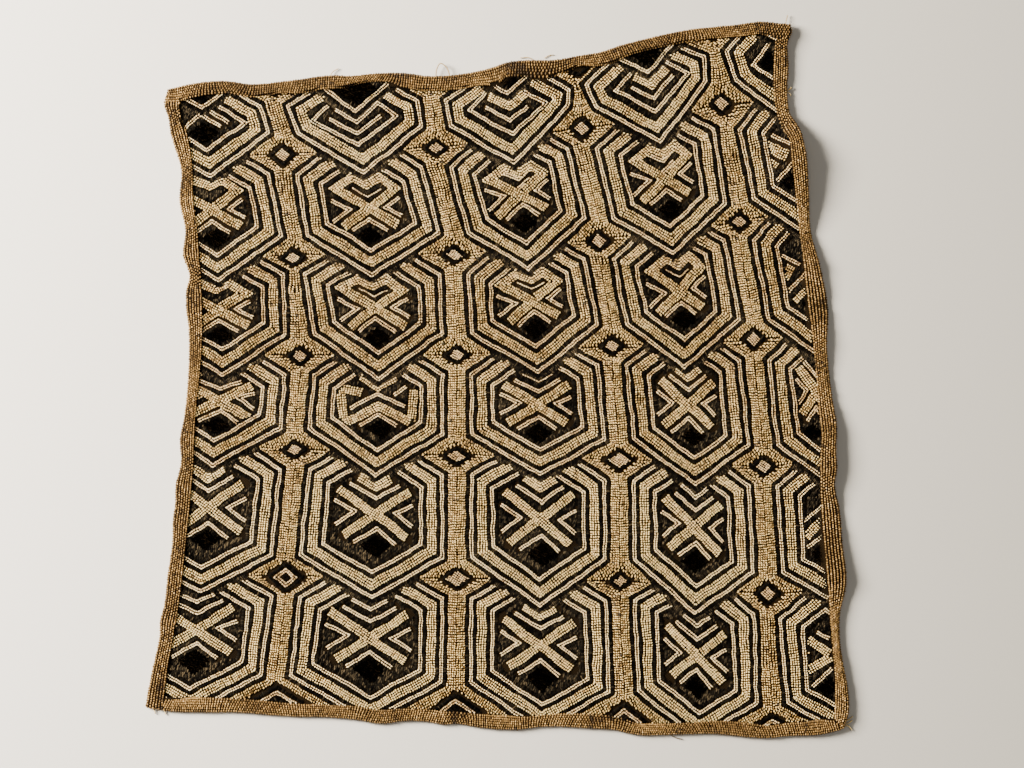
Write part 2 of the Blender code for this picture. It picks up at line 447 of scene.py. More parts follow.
# Bars of shields that follow no repeat, in pixels of the photograph.
ChartedBar = namedtuple("ChartedBar", "row column rows spots")
CHARTED_BARS = [
    ChartedBar(0, 0, 2, (Spot(218.6, 107.2), Spot(246.5, 122.4), Spot(207.4, 150.2), Spot(185, 137))),
    ChartedBar(0, 0, 2, (Spot(210.5, 111.7), Spot(229, 122.5))),
    ChartedBar(0, 0, 2, (Spot(184, 129.5), Spot(200.8, 114.6), Spot(221.3, 126.5))),
    ChartedBar(
        0,
        1,
        2,
        (
            Spot(328.7, 106.6),
            Spot(311.5, 120.4),
            Spot(358.6, 145),
            Spot(396.4, 116.3),
            Spot(377.5, 103.7),
            Spot(356.8, 122.1),
            Spot(336.2, 110.6),
        ),
    ),
    ChartedBar(0, 1, 2, (Spot(329.3, 119.2), Spot(358, 133.6), Spot(380.4, 116.3))),
    ChartedBar(
        0, 2, 2, (Spot(485.6, 92.4), Spot(469.4, 110.8), Spot(512.8, 134.1), Spot(546.1, 103), Spot(523.9, 92))
    ),
    ChartedBar(0, 2, 4, (Spot(489, 96), Spot(510.5, 107), Spot(524.5, 94))),
    ChartedBar(0, 2, 2, (Spot(485.6, 108.2), Spot(511.1, 120.8), Spot(528.3, 106.9))),
    ChartedBar(
        0, 3, 2, (Spot(630.6, 74), Spot(615.4, 90.6), Spot(655.6, 111.6), Spot(687.6, 74), Spot(666.4, 62))
    ),
    ChartedBar(0, 3, 4, (Spot(634, 77), Spot(652.5, 84.5), Spot(666.4, 68.5))),
    ChartedBar(0, 3, 2, (Spot(631.7, 87.7), Spot(654.4, 98.2), Spot(672.2, 76.5))),
    ChartedBar(0, 4, 2, (Spot(774, 37), Spot(752.6, 64.7), Spot(774, 79.5))),
    ChartedBar(1, 4, 2, (Spot(771.5, 136.3), Spot(789, 145))),
    ChartedBar(1, 4, 5, (Spot(764, 145), Spot(787, 156.6))),
    ChartedBar(1, 4, 3, (Spot(768, 160), Spot(776.5, 165.5))),
    ChartedBar(1, 4, 2, (Spot(776.3, 181.3), Spot(793, 163))),
    ChartedBar(2, 4, 2, (Spot(782.4, 255.9), Spot(800, 264.8))),
    ChartedBar(2, 4, 4, (Spot(784, 279), Spot(791, 266))),
    ChartedBar(2, 4, 2, (Spot(788, 292), Spot(806, 272.6))),
    ChartedBar(2, 4, 3, (Spot(794.7, 301), Spot(810, 286))),
    ChartedBar(4, 4, 2, (Spot(803.6, 521.3), Spot(824.5, 504))),
    ChartedBar(4, 4, 4, (Spot(805.8, 536.4), Spot(826, 517.5))),
    ChartedBar(4, 4, 2, (Spot(807.5, 547), Spot(828, 532.5))),
    ChartedBar(5, 4, 2, (Spot(816.9, 631.6), Spot(829, 638.4))),
    ChartedBar(5, 4, 4, (Spot(806.9, 638.4), Spot(830, 653.5))),
    ChartedBar(5, 4, 4, (Spot(808, 670), Spot(831, 656.5))),
    ChartedBar(5, 4, 3, (Spot(803.5, 652.5), Spot(808, 654.5))),
    ChartedBar(5, 4, 2, (Spot(813, 686), Spot(832, 668))),
    ChartedBar(3, 1, 2, (Spot(350, 408.5), Spot(378.4, 393.6), Spot(405, 406.5))),
    ChartedBar(3, 1, 4, (Spot(345, 423.5), Spot(378.4, 406.3), Spot(409.5, 422))),
    ChartedBar(3, 1, 4, (Spot(344, 422), Spot(340.5, 388))),
    ChartedBar(3, 1, 4, (Spot(412, 422), Spot(414, 390))),
    ChartedBar(3, 1, 4, (Spot(341, 388.5), Spot(362, 392.5))),
    ChartedBar(3, 1, 3, (Spot(360, 377), Spot(378.4, 388), Spot(396.7, 377))),
    ChartedBar(3, 1, 2, (Spot(395, 394.5), Spot(406, 386.5))),
    ChartedBar(3, 1, 2, (Spot(360, 425.5), Spot(378.4, 415), Spot(396.7, 425.5))),
]


def to_cloth(spots: list[Spot]) -> np.ndarray:
    """Turn places in the photograph to millimetres on the cloth.

    Args:
        spots: Places in pixels, right and down.

    Returns:
        An array of x and y.
    """
    places = np.array(spots, dtype=float)
    return np.column_stack(((places[:, 0] - ORIGIN_RIGHT) * PIXEL, (ORIGIN_DOWN - places[:, 1]) * PIXEL))


def srgb(code: str) -> tuple[float, float, float, float]:
    """Turn an sRGB hex value such as "c9a877" to linear colour with an alpha of 1."""
    channels = [int(code[i:i + 2], 16) / 255.0 for i in (0, 2, 4)]
    linear = [c / 12.92 if c <= 0.04045 else ((c + 0.055) / 1.055) ** 2.4 for c in channels]
    return (linear[0], linear[1], linear[2], 1.0)


def curve_points(points: list[Point], fractions: np.ndarray) -> np.ndarray:
    """Read a smooth curve through the points at fractions of its length."""
    knots = np.array(points, dtype=float)
    chords = np.linalg.norm(np.diff(knots, axis=0), axis=1)
    lengths = np.concatenate(([0.0], np.cumsum(chords)))
    slopes = np.gradient(knots, lengths, axis=0)
    wanted = np.asarray(fractions, dtype=float) * lengths[-1]
    span = np.clip(np.searchsorted(lengths, wanted, side="right") - 1, 0, len(chords) - 1)
    step = chords[span][:, None]
    t = ((wanted - lengths[span]) / chords[span])[:, None]
    from_knot = (1 + 2 * t) * (1 - t) ** 2 * knots[span] + t * (1 - t) ** 2 * step * slopes[span]
    to_knot = t ** 2 * (3 - 2 * t) * knots[span + 1] + t ** 2 * (t - 1) * step * slopes[span + 1]
    return from_knot + to_knot


def soft_noise(x: np.ndarray, y: np.ndarray, wavelength: float, seed: int) -> np.ndarray:
    """Smooth noise from about -1 to 1, made of a few waves in seeded directions.

    Args:
        x: Places in millimetres.
        y: Places in millimetres.
        wavelength: The middle wavelength in millimetres.
        seed: Which noise.

    Returns:
        The noise at each place.
    """
    rng = np.random.default_rng(seed)
    total = np.zeros_like(np.asarray(x, dtype=float))
    count = 7
    for turn in rng.uniform(0.0, 2.0 * math.pi, count):
        scale = 2.0 * math.pi / (wavelength * rng.uniform(0.6, 1.7))
        total = total + np.sin((x * math.cos(turn) + y * math.sin(turn)) * scale + rng.uniform(0.0, 6.28))
    return total / (0.9 * math.sqrt(count))


@dataclass
class Lay:
    """How the cloth lies: its outline, its hems, and the waves of its right side."""

    samples: int = 700
    hem_round: float = 2.2
    hem_fall: float = 0.9
    left: np.ndarray = field(init=False)
    right: np.ndarray = field(init=False)
    top: np.ndarray = field(init=False)
    bottom: np.ndarray = field(init=False)
    inner_left: np.ndarray = field(init=False)
    inner_right: np.ndarray = field(init=False)
    inner_top: np.ndarray = field(init=False)
    inner_bottom: np.ndarray = field(init=False)

    def __post_init__(self) -> None:
        """Sample the four sides and the four hem edges finely."""
        fractions = np.linspace(0.0, 1.0, self.samples)
        self.left = curve_points(LEFT_SIDE, fractions)
        self.right = curve_points(RIGHT_SIDE, fractions)
        self.top = curve_points(TOP_SIDE, fractions)
        self.bottom = curve_points(BOTTOM_SIDE, fractions)
        self.inner_left = curve_points(to_cloth(LEFT_HEM_EDGE), fractions)
        self.inner_right = curve_points(to_cloth(RIGHT_HEM_EDGE), fractions)
        self.inner_top = curve_points(to_cloth(TOP_HEM_EDGE), fractions)
        self.inner_bottom = curve_points(to_cloth(BOTTOM_HEM_EDGE), fractions)

    def side_gaps(self, x: np.ndarray, y: np.ndarray) -> tuple[np.ndarray, np.ndarray]:
        """How far places are from the four outer sides, and how wide the hems are beside them.

        Args:
            x: Places in millimetres.
            y: Places in millimetres.

        Returns:
            Two arrays with a row for each side: left, right, top, bottom.
        """
        out_left = np.interp(y, self.left[:, 1], self.left[:, 0])
        out_right = np.interp(y, self.right[:, 1], self.right[:, 0])
        out_top = np.interp(x, self.top[:, 0], self.top[:, 1])
        out_bottom = np.interp(x, self.bottom[:, 0], self.bottom[:, 1])
        in_left = np.interp(y, self.inner_left[:, 1], self.inner_left[:, 0])
        in_right = np.interp(y, self.inner_right[:, 1], self.inner_right[:, 0])
        in_top = np.interp(x, self.inner_top[:, 0], self.inner_top[:, 1])
        in_bottom = np.interp(x, self.inner_bottom[:, 0], self.inner_bottom[:, 1])
        gaps = np.array([x - out_left, out_right - x, out_top - y, y - out_bottom])
        widths = np.array([in_left - out_left, out_right - in_right, out_top - in_top, in_bottom - out_bottom])
        return gaps, widths

    def field_depth(self, x: np.ndarray, y: np.ndarray) -> np.ndarray:
        """How far places are inside the hems' edges, negative on the hems."""
        gaps, widths = self.side_gaps(x, y)
        return (gaps - widths).min(axis=0)

    def lift(self, x: np.ndarray, y: np.ndarray) -> np.ndarray:
        """Height of the underside over the surface that the cloth lies on."""
        out_left = np.interp(y, self.left[:, 1], self.left[:, 0])
        out_right = np.interp(y, self.right[:, 1], self.right[:, 0])
        mean_width = 530.0
        inward = np.maximum(out_right - x, 0.0) / (out_right - out_left) * mean_width
        crest = np.interp(y, [row.y for row in RIGHT_WAVES], [row.height for row in RIGHT_WAVES])
        nearness = np.clip(1.0 - inward / WAVE_REACH, 0.0, 1.0)
        return crest * nearness ** 2 * (3.0 - 2.0 * nearness)

    def relief(self, x: np.ndarray, y: np.ndarray) -> np.ndarray:
        """Small unevenness of the field, where the embroidery has drawn the weave together."""
        inside = np.clip(self.field_depth(x, y) / 12.0, 0.0, 1.0)
        return 0.16 * inside * (1.0 + soft_noise(x, y, 46.0, SEED + 1))

    def upper(self, x: np.ndarray, y: np.ndarray) -> np.ndarray:
        """Height of the upper face of the ground cloth and of its hem."""
        gaps, widths = self.side_gaps(x, y)
        side = np.argmin(gaps - widths, axis=0)
        gap = np.maximum(np.take_along_axis(gaps, side[None], axis=0)[0], 0.0)
        outer_gap = np.maximum(gaps.min(axis=0), 0.0)
        width = np.take_along_axis(widths, side[None], axis=0)[0]
        inner_gap = width - gap
        round_up = np.clip(1.0 - outer_gap / self.hem_round, 0.0, 1.0)
        roll = RIM_MIDDLE + (HEM_TOP - RIM_MIDDLE) * np.sqrt(1.0 - round_up ** 2)
        crown = 0.15 * np.sin(math.pi * np.clip(gap / width, 0.0, 1.0))
        fall = np.clip(inner_gap / self.hem_fall, 0.0, 1.0)
        fall = fall ** 2 * (3.0 - 2.0 * fall)
        hem = GROUND_TOP + (roll + crown - GROUND_TOP) * fall
        height = np.where(inner_gap > 0.0, hem, GROUND_TOP + self.relief(x, y))
        return height + self.lift(x, y)

    def under(self, x: np.ndarray, y: np.ndarray) -> np.ndarray:
        """Height of the underside, which turns up to the rim at the outer edge."""
        gaps, _ = self.side_gaps(x, y)
        outer_gap = np.maximum(gaps.min(axis=0), 0.0)
        round_up = np.clip(1.0 - outer_gap / 1.8, 0.0, 1.0)
        return self.lift(x, y) + (RIM_MIDDLE - 0.3) * (1.0 - np.sqrt(1.0 - round_up ** 2))

    def field_height(self, x: np.ndarray, y: np.ndarray) -> np.ndarray:
        """Height at which the field's stitches start."""
        return self.lift(x, y) + self.relief(x, y) + STITCH_BASE

    def field_normal(self, x: np.ndarray, y: np.ndarray) -> np.ndarray:
        """Upward normals of the field."""
        reach = 1.5
        slope_x = (self.field_height(x + reach, y) - self.field_height(x - reach, y)) / (2 * reach)
        slope_y = (self.field_height(x, y + reach) - self.field_height(x, y - reach)) / (2 * reach)
        normals = np.column_stack((-slope_x, -slope_y, np.ones_like(slope_x)))
        return normals / np.linalg.norm(normals, axis=1)[:, None]


@dataclass(frozen=True)
class StitchForm:
    """The shape of one kind of stitch, as points of a unit stitch and its faces, and each point's painted shade: dark
    where shade falls between stitches, light on top as a painted highlight.
    """

    corners: tuple[tuple[float, float, float], ...]
    faces: tuple[tuple[int, ...], ...]
    painted_shade: tuple[float, ...]


# A fat stitch of untwisted raffia: two rings of three points and two ends.
BEAD = StitchForm(
    corners=(
        (-0.5, 0.0, 0.10),
        (-0.1, -0.5, 0.0),
        (-0.15, 0.0, 1.0),
        (-0.1, 0.5, 0.0),
        (0.1, -0.5, 0.0),
        (0.15, 0.0, 1.0),
        (0.1, 0.5, 0.0),
        (0.5, 0.0, 0.10),
    ),
    faces=(
        (1, 4, 5, 2),
        (2, 5, 6, 3),
        (3, 6, 4, 1),
        (0, 1, 2),
        (0, 2, 3),
        (0, 3, 1),
        (7, 5, 4),
        (7, 6, 5),
        (7, 4, 6),
    ),
    # Painted shade: dark at the ends and base, where stitches meet, and lightest along the ridge as a painted
    # highlight.
    painted_shade=(0.0, 0.16, 1.0, 0.16, 0.16, 1.0, 0.16, 0.0),
)

# A rib of the hem's weave: a bead with less painted shade at its sides and ends than a stitch, so that the grooves
# between ribs look shallower.
RIB = replace(BEAD, painted_shade=(0.15, 0.27, 1.0, 0.27, 0.27, 1.0, 0.27, 0.15))

# A flat stitch: a low ridge on a base of four points.
TICK = StitchForm(
    corners=(
        (-0.5, -0.5, 0.0),
        (-0.5, 0.5, 0.0),
        (0.5, -0.5, 0.0),
        (0.5, 0.5, 0.0),
        (-0.36, 0.0, 1.0),
        (0.36, 0.0, 1.0),
    ),
    faces=(
        (0, 1, 3, 2),
        (0, 2, 5, 4),
        (3, 1, 4, 5),
        (1, 0, 4),
        (2, 3, 5),
    ),
    # Painted shade: the base half as light as the ridge.
    painted_shade=(0.5, 0.5, 0.5, 0.5, 1.0, 1.0),
)

# A cut tuft of pile: a leaning spike on a base of three points.
TUFT = StitchForm(
    corners=(
        (-0.5, -0.45, 0.0),
        (0.5, -0.4, 0.0),
        (0.0, 0.5, 0.0),
        (0.15, 0.0, 1.0),
    ),
    faces=((0, 2, 1), (0, 1, 3), (1, 2, 3), (2, 0, 3)),
    # Painted shade: the base darker than the tip.
    painted_shade=(0.6, 0.6, 0.6, 1.0),
)


@dataclass
class StitchBank:
    """Stitches of one form, gathered as arrays until they are made one mesh."""

    name: str
    form: StitchForm
    material: bpy.types.Material
    centres: list[np.ndarray] = field(default_factory=list)
    alongs: list[np.ndarray] = field(default_factory=list)
    normals: list[np.ndarray] = field(default_factory=list)
    sizes: list[np.ndarray] = field(default_factory=list)
    shades: list[np.ndarray] = field(default_factory=list)

    def add(
        self, centres: np.ndarray, along: np.ndarray, normals: np.ndarray, sizes: np.ndarray, shades: np.ndarray
    ) -> None:
        """Add stitches.

        Args:
            centres: Their places, in millimetres.
            along: Which way each runs, as 3-D directions.
            normals: Which way each one's top faces.
            sizes: The length, width and height of each.
            shades: How light each is, from 0 to 1.
        """
        self.centres.append(centres)
        self.alongs.append(along)
        self.normals.append(normals)
        self.sizes.append(sizes)
        self.shades.append(shades)

    def count(self) -> int:
        """How many stitches it holds."""
        return sum(len(part) for part in self.centres)

    def make(self) -> bpy.types.Object:
        """Make one piece of all its stitches."""
        centres = np.concatenate(self.centres)
        normals = np.concatenate(self.normals)
        along = np.concatenate(self.alongs)
        sizes = np.concatenate(self.sizes)
        shades = np.concatenate(self.shades)
        along = along - normals * (along * normals).sum(axis=1)[:, None]
        along = along / np.linalg.norm(along, axis=1)[:, None]
        across = np.cross(normals, along)
        corners = np.array(self.form.corners)
        places = (
            centres[:, None, :]
            + along[:, None, :] * (corners[None, :, 0] * sizes[:, 0:1])[:, :, None]
            + across[:, None, :] * (corners[None, :, 1] * sizes[:, 1:2])[:, :, None]
            + normals[:, None, :] * (corners[None, :, 2] * sizes[:, 2:3])[:, :, None]
        ) * MM
        total, per_stitch = places.shape[:2]
        starts = np.arange(total)[:, None] * per_stitch
        pattern = np.concatenate([np.array(face) for face in self.form.faces])
        face_sizes = np.array([len(face) for face in self.form.faces])
        corner_index = (starts + pattern[None, :]).ravel()
        loop_starts = np.concatenate(([0], np.cumsum(np.tile(face_sizes, total))[:-1]))
        mesh = bpy.data.meshes.new(self.name)
        mesh.vertices.add(total * per_stitch)
        mesh.vertices.foreach_set("co", places.ravel())
        mesh.loops.add(len(corner_index))
        mesh.loops.foreach_set("vertex_index", corner_index)
        mesh.polygons.add(total * len(face_sizes))
        mesh.polygons.foreach_set("loop_start", loop_starts)
        mesh.update(calc_edges=True)
        mesh.shade_smooth()
        # The shade attribute holds each stitch's tone times the painted shade of its form's points.
        shade = mesh.attributes.new("shade", "FLOAT", "POINT")
        painted_shade = np.array(self.form.painted_shade)
        shade.data.foreach_set("value", np.clip(shades[:, None] * painted_shade[None, :], 0.0, 1.0).ravel())
        piece = bpy.data.objects.new(self.name, mesh)
        bpy.context.scene.collection.objects.link(piece)
        mesh.materials.append(self.material)
        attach(piece, "root")
        LOG.info("%s: %d stitches", self.name, total)
        return piece


@dataclass(frozen=True)
class Polygon:
    """A convex outline with its corners in order, and distances to it."""

    corners: np.ndarray

    def inward(self) -> tuple[np.ndarray, np.ndarray]:
        """Inward normals of the edges and their distances from the origin."""
        edges = np.roll(self.corners, -1, axis=0) - self.corners
        normals = np.column_stack((-edges[:, 1], edges[:, 0]))
        normals = normals / np.linalg.norm(normals, axis=1)[:, None]
        middle = self.corners.mean(axis=0)
        signs = np.sign(((middle - self.corners) * normals).sum(axis=1))
        normals = normals * signs[:, None]
        return normals, (normals * self.corners).sum(axis=1)

    def depth(self, places: np.ndarray) -> np.ndarray:
        """How far places are inside it, with mitred corners outside it."""
        normals, levels = self.inward()
        return (places @ normals.T - levels[None, :]).min(axis=1)

    def ring(self, inset: float) -> np.ndarray:
        """Its corners moved in by a distance, or out where that is negative."""
        normals, levels = self.inward()
        count = len(self.corners)
        moved = []
        for i in range(count):
            pair = np.array([normals[i - 1], normals[i]])
            moved.append(np.linalg.solve(pair, np.array([levels[i - 1] + inset, levels[i] + inset])))
        return np.array(moved)


def walk(
    points: np.ndarray, pitch: float, closed: bool, guide: np.ndarray | None = None
) -> tuple[np.ndarray, np.ndarray]:
    """Places at an even pitch along a line of straight runs.

    Args:
        points: The line's corners.
        pitch: The distance from place to place.
        closed: Whether the line returns to its start.
        guide: A line with as many corners, whose runs' middles set where the places
            of each run are counted from, so that those of parallel rows line up.

    Returns:
        The places and the directions there.
    """
    guide = points if guide is None else guide
    corners = np.vstack((points, points[:1])) if closed else points
    guides = np.vstack((guide, guide[:1])) if closed else guide
    places = []
    headings = []
    for i in range(len(corners) - 1):
        run = corners[i + 1] - corners[i]
        length = max(float(np.linalg.norm(run)), 1e-6)
        heading = run / length
        middle = float((0.5 * (guides[i] + guides[i + 1]) - corners[i]) @ heading)
        first = math.ceil((0.15 * pitch - middle) / pitch)
        last = math.floor((length - 0.15 * pitch - middle) / pitch)
        if last < first:
            continue
        steps = middle + np.arange(first, last + 1) * pitch
        if steps[0] > 0.7 * pitch:
            steps = np.append(0.25 * pitch, steps)
        if length - steps[-1] > 0.7 * pitch:
            steps = np.append(steps, length - 0.25 * pitch)
        places.append(corners[i] + steps[:, None] * heading)
        headings.append(np.tile(heading, (len(steps), 1)))
    if not places:
        return np.zeros((0, 2)), np.zeros((0, 2))
    return np.concatenate(places), np.concatenate(headings)


def beside(points: np.ndarray, shift: float) -> np.ndarray:
    """An open line moved to its left by a distance, with mitred corners."""
    runs = np.diff(points, axis=0)
    runs = runs / np.linalg.norm(runs, axis=1)[:, None]
    lefts = np.column_stack((-runs[:, 1], runs[:, 0]))
    moved = [points[0] + lefts[0] * shift]
    for i in range(1, len(points) - 1):
        both = lefts[i - 1] + lefts[i]
        size = float(both @ lefts[i])
        moved.append(points[i] + both * (shift / max(size, 0.35)))
    moved.append(points[-1] + lefts[-1] * shift)
    return np.array(moved)


def distance_to_line(places: np.ndarray, points: np.ndarray) -> np.ndarray:
    """The distance from each place to an open line of straight runs."""
    nearest = np.full(len(places), 1e9)
    for begin, end in zip(points[:-1], points[1:]):
        run = end - begin
        share = np.clip(((places - begin) @ run) / max(float(run @ run), 1e-9), 0.0, 1.0)
        gap = np.linalg.norm(places - begin - share[:, None] * run, axis=1)
        nearest = np.minimum(nearest, gap)
    return nearest


@dataclass
class Bar:
    """A bar of stitch rows along a line."""

    points: np.ndarray
    rows: int = 2
    black: bool = False

    def half(self) -> float:
        """Half its width."""
        return self.rows * ROW_PITCH / 2.0


ROW_PITCH = 1.85
STITCH_PITCH = 1.94
TICK_PITCH = 1.3
LIGHT_STITCH = (2.4, 1.72, 1.6)
OUTER_STITCH = (2.6, 1.52, 1.6)
NARROW_STITCH = (2.8, 1.45, 1.4)


@dataclass
class Stitcher:
    """Turns rows drawn on the face to stitches that follow the cloth."""

    lay: Lay
    light: StitchBank
    motif: StitchBank
    narrow: StitchBank
    outer: StitchBank
    dark: StitchBank
    fill: StitchBank
    pile: StitchBank
    rng: np.random.Generator = field(default_factory=lambda: np.random.default_rng(SEED))

    def on_field(self, places: np.ndarray, spare: float = 0.6) -> np.ndarray:
        """Which places lie on the field, or just under a hem's edge."""
        return self.lay.field_depth(places[:, 0], places[:, 1]) > -spare

    def sway(self, places: np.ndarray) -> np.ndarray:
        """Places moved by the smooth unevenness of hand work."""
        x, y = places[:, 0], places[:, 1]
        slow = np.column_stack((soft_noise(x, y, 26.0, SEED + 5), soft_noise(x, y, 26.0, SEED + 6)))
        quick = np.column_stack((soft_noise(x, y, 9.0, SEED + 7), soft_noise(x, y, 9.0, SEED + 8)))
        return places + 0.36 * slow + 0.18 * quick

    def sew(
        self,
        bank: StitchBank,
        places: np.ndarray,
        headings: np.ndarray,
        size: tuple[float, float, float],
        slant: float | np.ndarray = 0.0,
        tone: float | np.ndarray = 0.6,
        spread: float = 0.22,
        loose: float = 0.1,
    ) -> None:
        """Sew stitches at places.

        Args:
            bank: Where they go.
            places: Their places on the face.
            headings: Which way their row runs.
            size: Length, width and height of a stitch.
            slant: How far each is turned from its row, in degrees.
            tone: How light they are.
            spread: How much the tone varies.
            loose: How much places, angles and sizes vary.
        """
        if len(places) == 0:
            return
        rng = self.rng
        count = len(places)
        places = self.sway(places) + rng.normal(0.0, loose, (count, 2))
        angle = np.arctan2(headings[:, 1], headings[:, 0]) + np.radians(slant)
        angle = angle + rng.normal(0.0, loose * 0.9, count)
        x, y = places[:, 0], places[:, 1]
        centres = np.column_stack((x, y, self.lay.field_height(x, y)))
        along = np.column_stack((np.cos(angle), np.sin(angle), np.zeros(count)))
        sizes = np.array(size)[None, :] * (1.0 + rng.normal(0.0, loose, (count, 3)))
        shades = tone + spread * rng.normal(0.0, 1.0, count) + 0.07 * soft_noise(x, y, 60.0, SEED + 9)
        bank.add(centres, along, self.lay.field_normal(x, y), np.maximum(sizes, 0.2), np.clip(shades, 0.02, 1.0))

    def light_row(
        self, broad: StitchBank, places: np.ndarray, headings: np.ndarray, slant: float, tone: float
    ) -> None:
        """Sew one row of light stem stitch, with its slant turned over from side to side."""
        if abs(slant) > 20:
            self.sew(broad, places, headings, LIGHT_STITCH, -slant * np.sign(headings[:, 1]), tone)
        else:
            self.sew(self.narrow, places, headings, NARROW_STITCH, slant, tone, spread=0.18, loose=0.07)

    def black_row(
        self, bank: StitchBank, places: np.ndarray, headings: np.ndarray, width: float, tone: float
    ) -> None:
        """Sew one row of black satin stitch, each stitch across the row and of its own length."""
        long = self.rng.uniform(0.0, 1.0, len(places)) < 0.4
        for some, reach, height in ((long, 1.3, 1.15), (~long, 0.0, 0.85)):
            size = (width + reach, 1.3, height)
            self.sew(bank, places[some], headings[some], size, 90.0, tone, spread=0.16, loose=0.13)


@dataclass
class Shield:
    """One shield of the pattern: its outline, its bands and what fills it."""

    spot: ShieldSpot
    outline: Polygon
    upper: "Shield | None" = None
    tone: float = 0.6

    def clear_of_upper(self, places: np.ndarray, margin: float) -> np.ndarray:
        """Which places are clear of the shield above by a margin."""
        if self.upper is None:
            return np.ones(len(places), dtype=bool)
        return self.upper.outline.depth(places) < -margin


# Rows of stitches round a shield: how far inside its outline, whether light,
# how they slant, and how far they stay from the shield above.
RingRow = namedtuple("RingRow", "inset light slant clear")
RINGS = [
    RingRow(-3.1, False, 90, 4.6),
    RingRow(-0.9, True, 15, 8.2),
    RingRow(0.9, True, -15, 8.2),
    RingRow(3.15, False, 90, 4.8),
    RingRow(5.4, True, 50, 6.8),
    RingRow(7.35, True, 34, 5.4),
    RingRow(9.25, True, 34, 5.4),
    RingRow(11.2, True, 50, 6.8),
    RingRow(13.6, False, 90, 4.8),
    RingRow(15.9, True, 15, 8.0),
    RingRow(17.7, True, -15, 8.0),
    RingRow(19.9, False, 90, 4.8),
]
BAND_END = 11.6
INNER_END = 19.0
# Rows between shields: the first one's distance from the outline, how many
# there are at most, and how near the last one's middle comes to the parting.
OUTER_START = 5.6
OUTER_ROWS = 5
PARTING = 1.05

# Bars in the middle of a shield, in pixels from where they cross, right and up.
Mark = namedtuple("Mark", "right up")
Strip = namedtuple("Strip", "rows marks")
CROSS_BARS = [
    Strip(4, (Mark(-33, 17.4), Mark(30, -21))),
    Strip(4, (Mark(32, 18.2), Mark(-28.5, -22.3))),
    Strip(2, (Mark(-19.5, -27.5), Mark(0, -14.8), Mark(18, -27))),
]
LEFT_CHEVRON = Strip(2, (Mark(-36, 7), Mark(-18.5, -1.3), Mark(-35.5, -13.3)))
RIGHT_CHEVRON = Strip(2, (Mark(35, 6.7), Mark(18.5, -1.2), Mark(34.8, -11.2)))
TOP_CHEVRON = Strip(2, (Mark(-22.5, 22), Mark(0, 10.8), Mark(22.5, 23)))
UPPER_MARKS = (Mark(-15, 28), Mark(0, 20.5), Mark(14.5, 28.5))
HEART_BARS = [
    Strip(
        4,
        (
            Mark(29.5, -17.3),
            Mark(-33, 17.2),
            Mark(-16.5, 27),
            Mark(-1.5, 20.5),
            Mark(11, 27.2),
            Mark(26.5, 17.3),
            Mark(3.2, 2.2),
        ),
    ),
    Strip(4, (Mark(0, 0), Mark(-24.5, -20.8))),
    Strip(2, (Mark(-15.5, -24), Mark(0.5, -11.5), Mark(20, -23.5))),
    Strip(2, (Mark(-37, 7), Mark(-17.5, -1.5), Mark(-34, -14))),
    Strip(2, (Mark(32, 10), Mark(17.5, 1), Mark(34, -8))),
]
HEART_THREAD = (Mark(-16.5, 17.7), Mark(-1, 10.5), Mark(12, 16.8))
HEART_FILLING = [
    Strip(2, (Mark(-19, 21), Mark(-3.6, 14.4), Mark(8.5, 23))),
    Strip(2, (Mark(-3.5, 5), Mark(10, 13.5))),
]


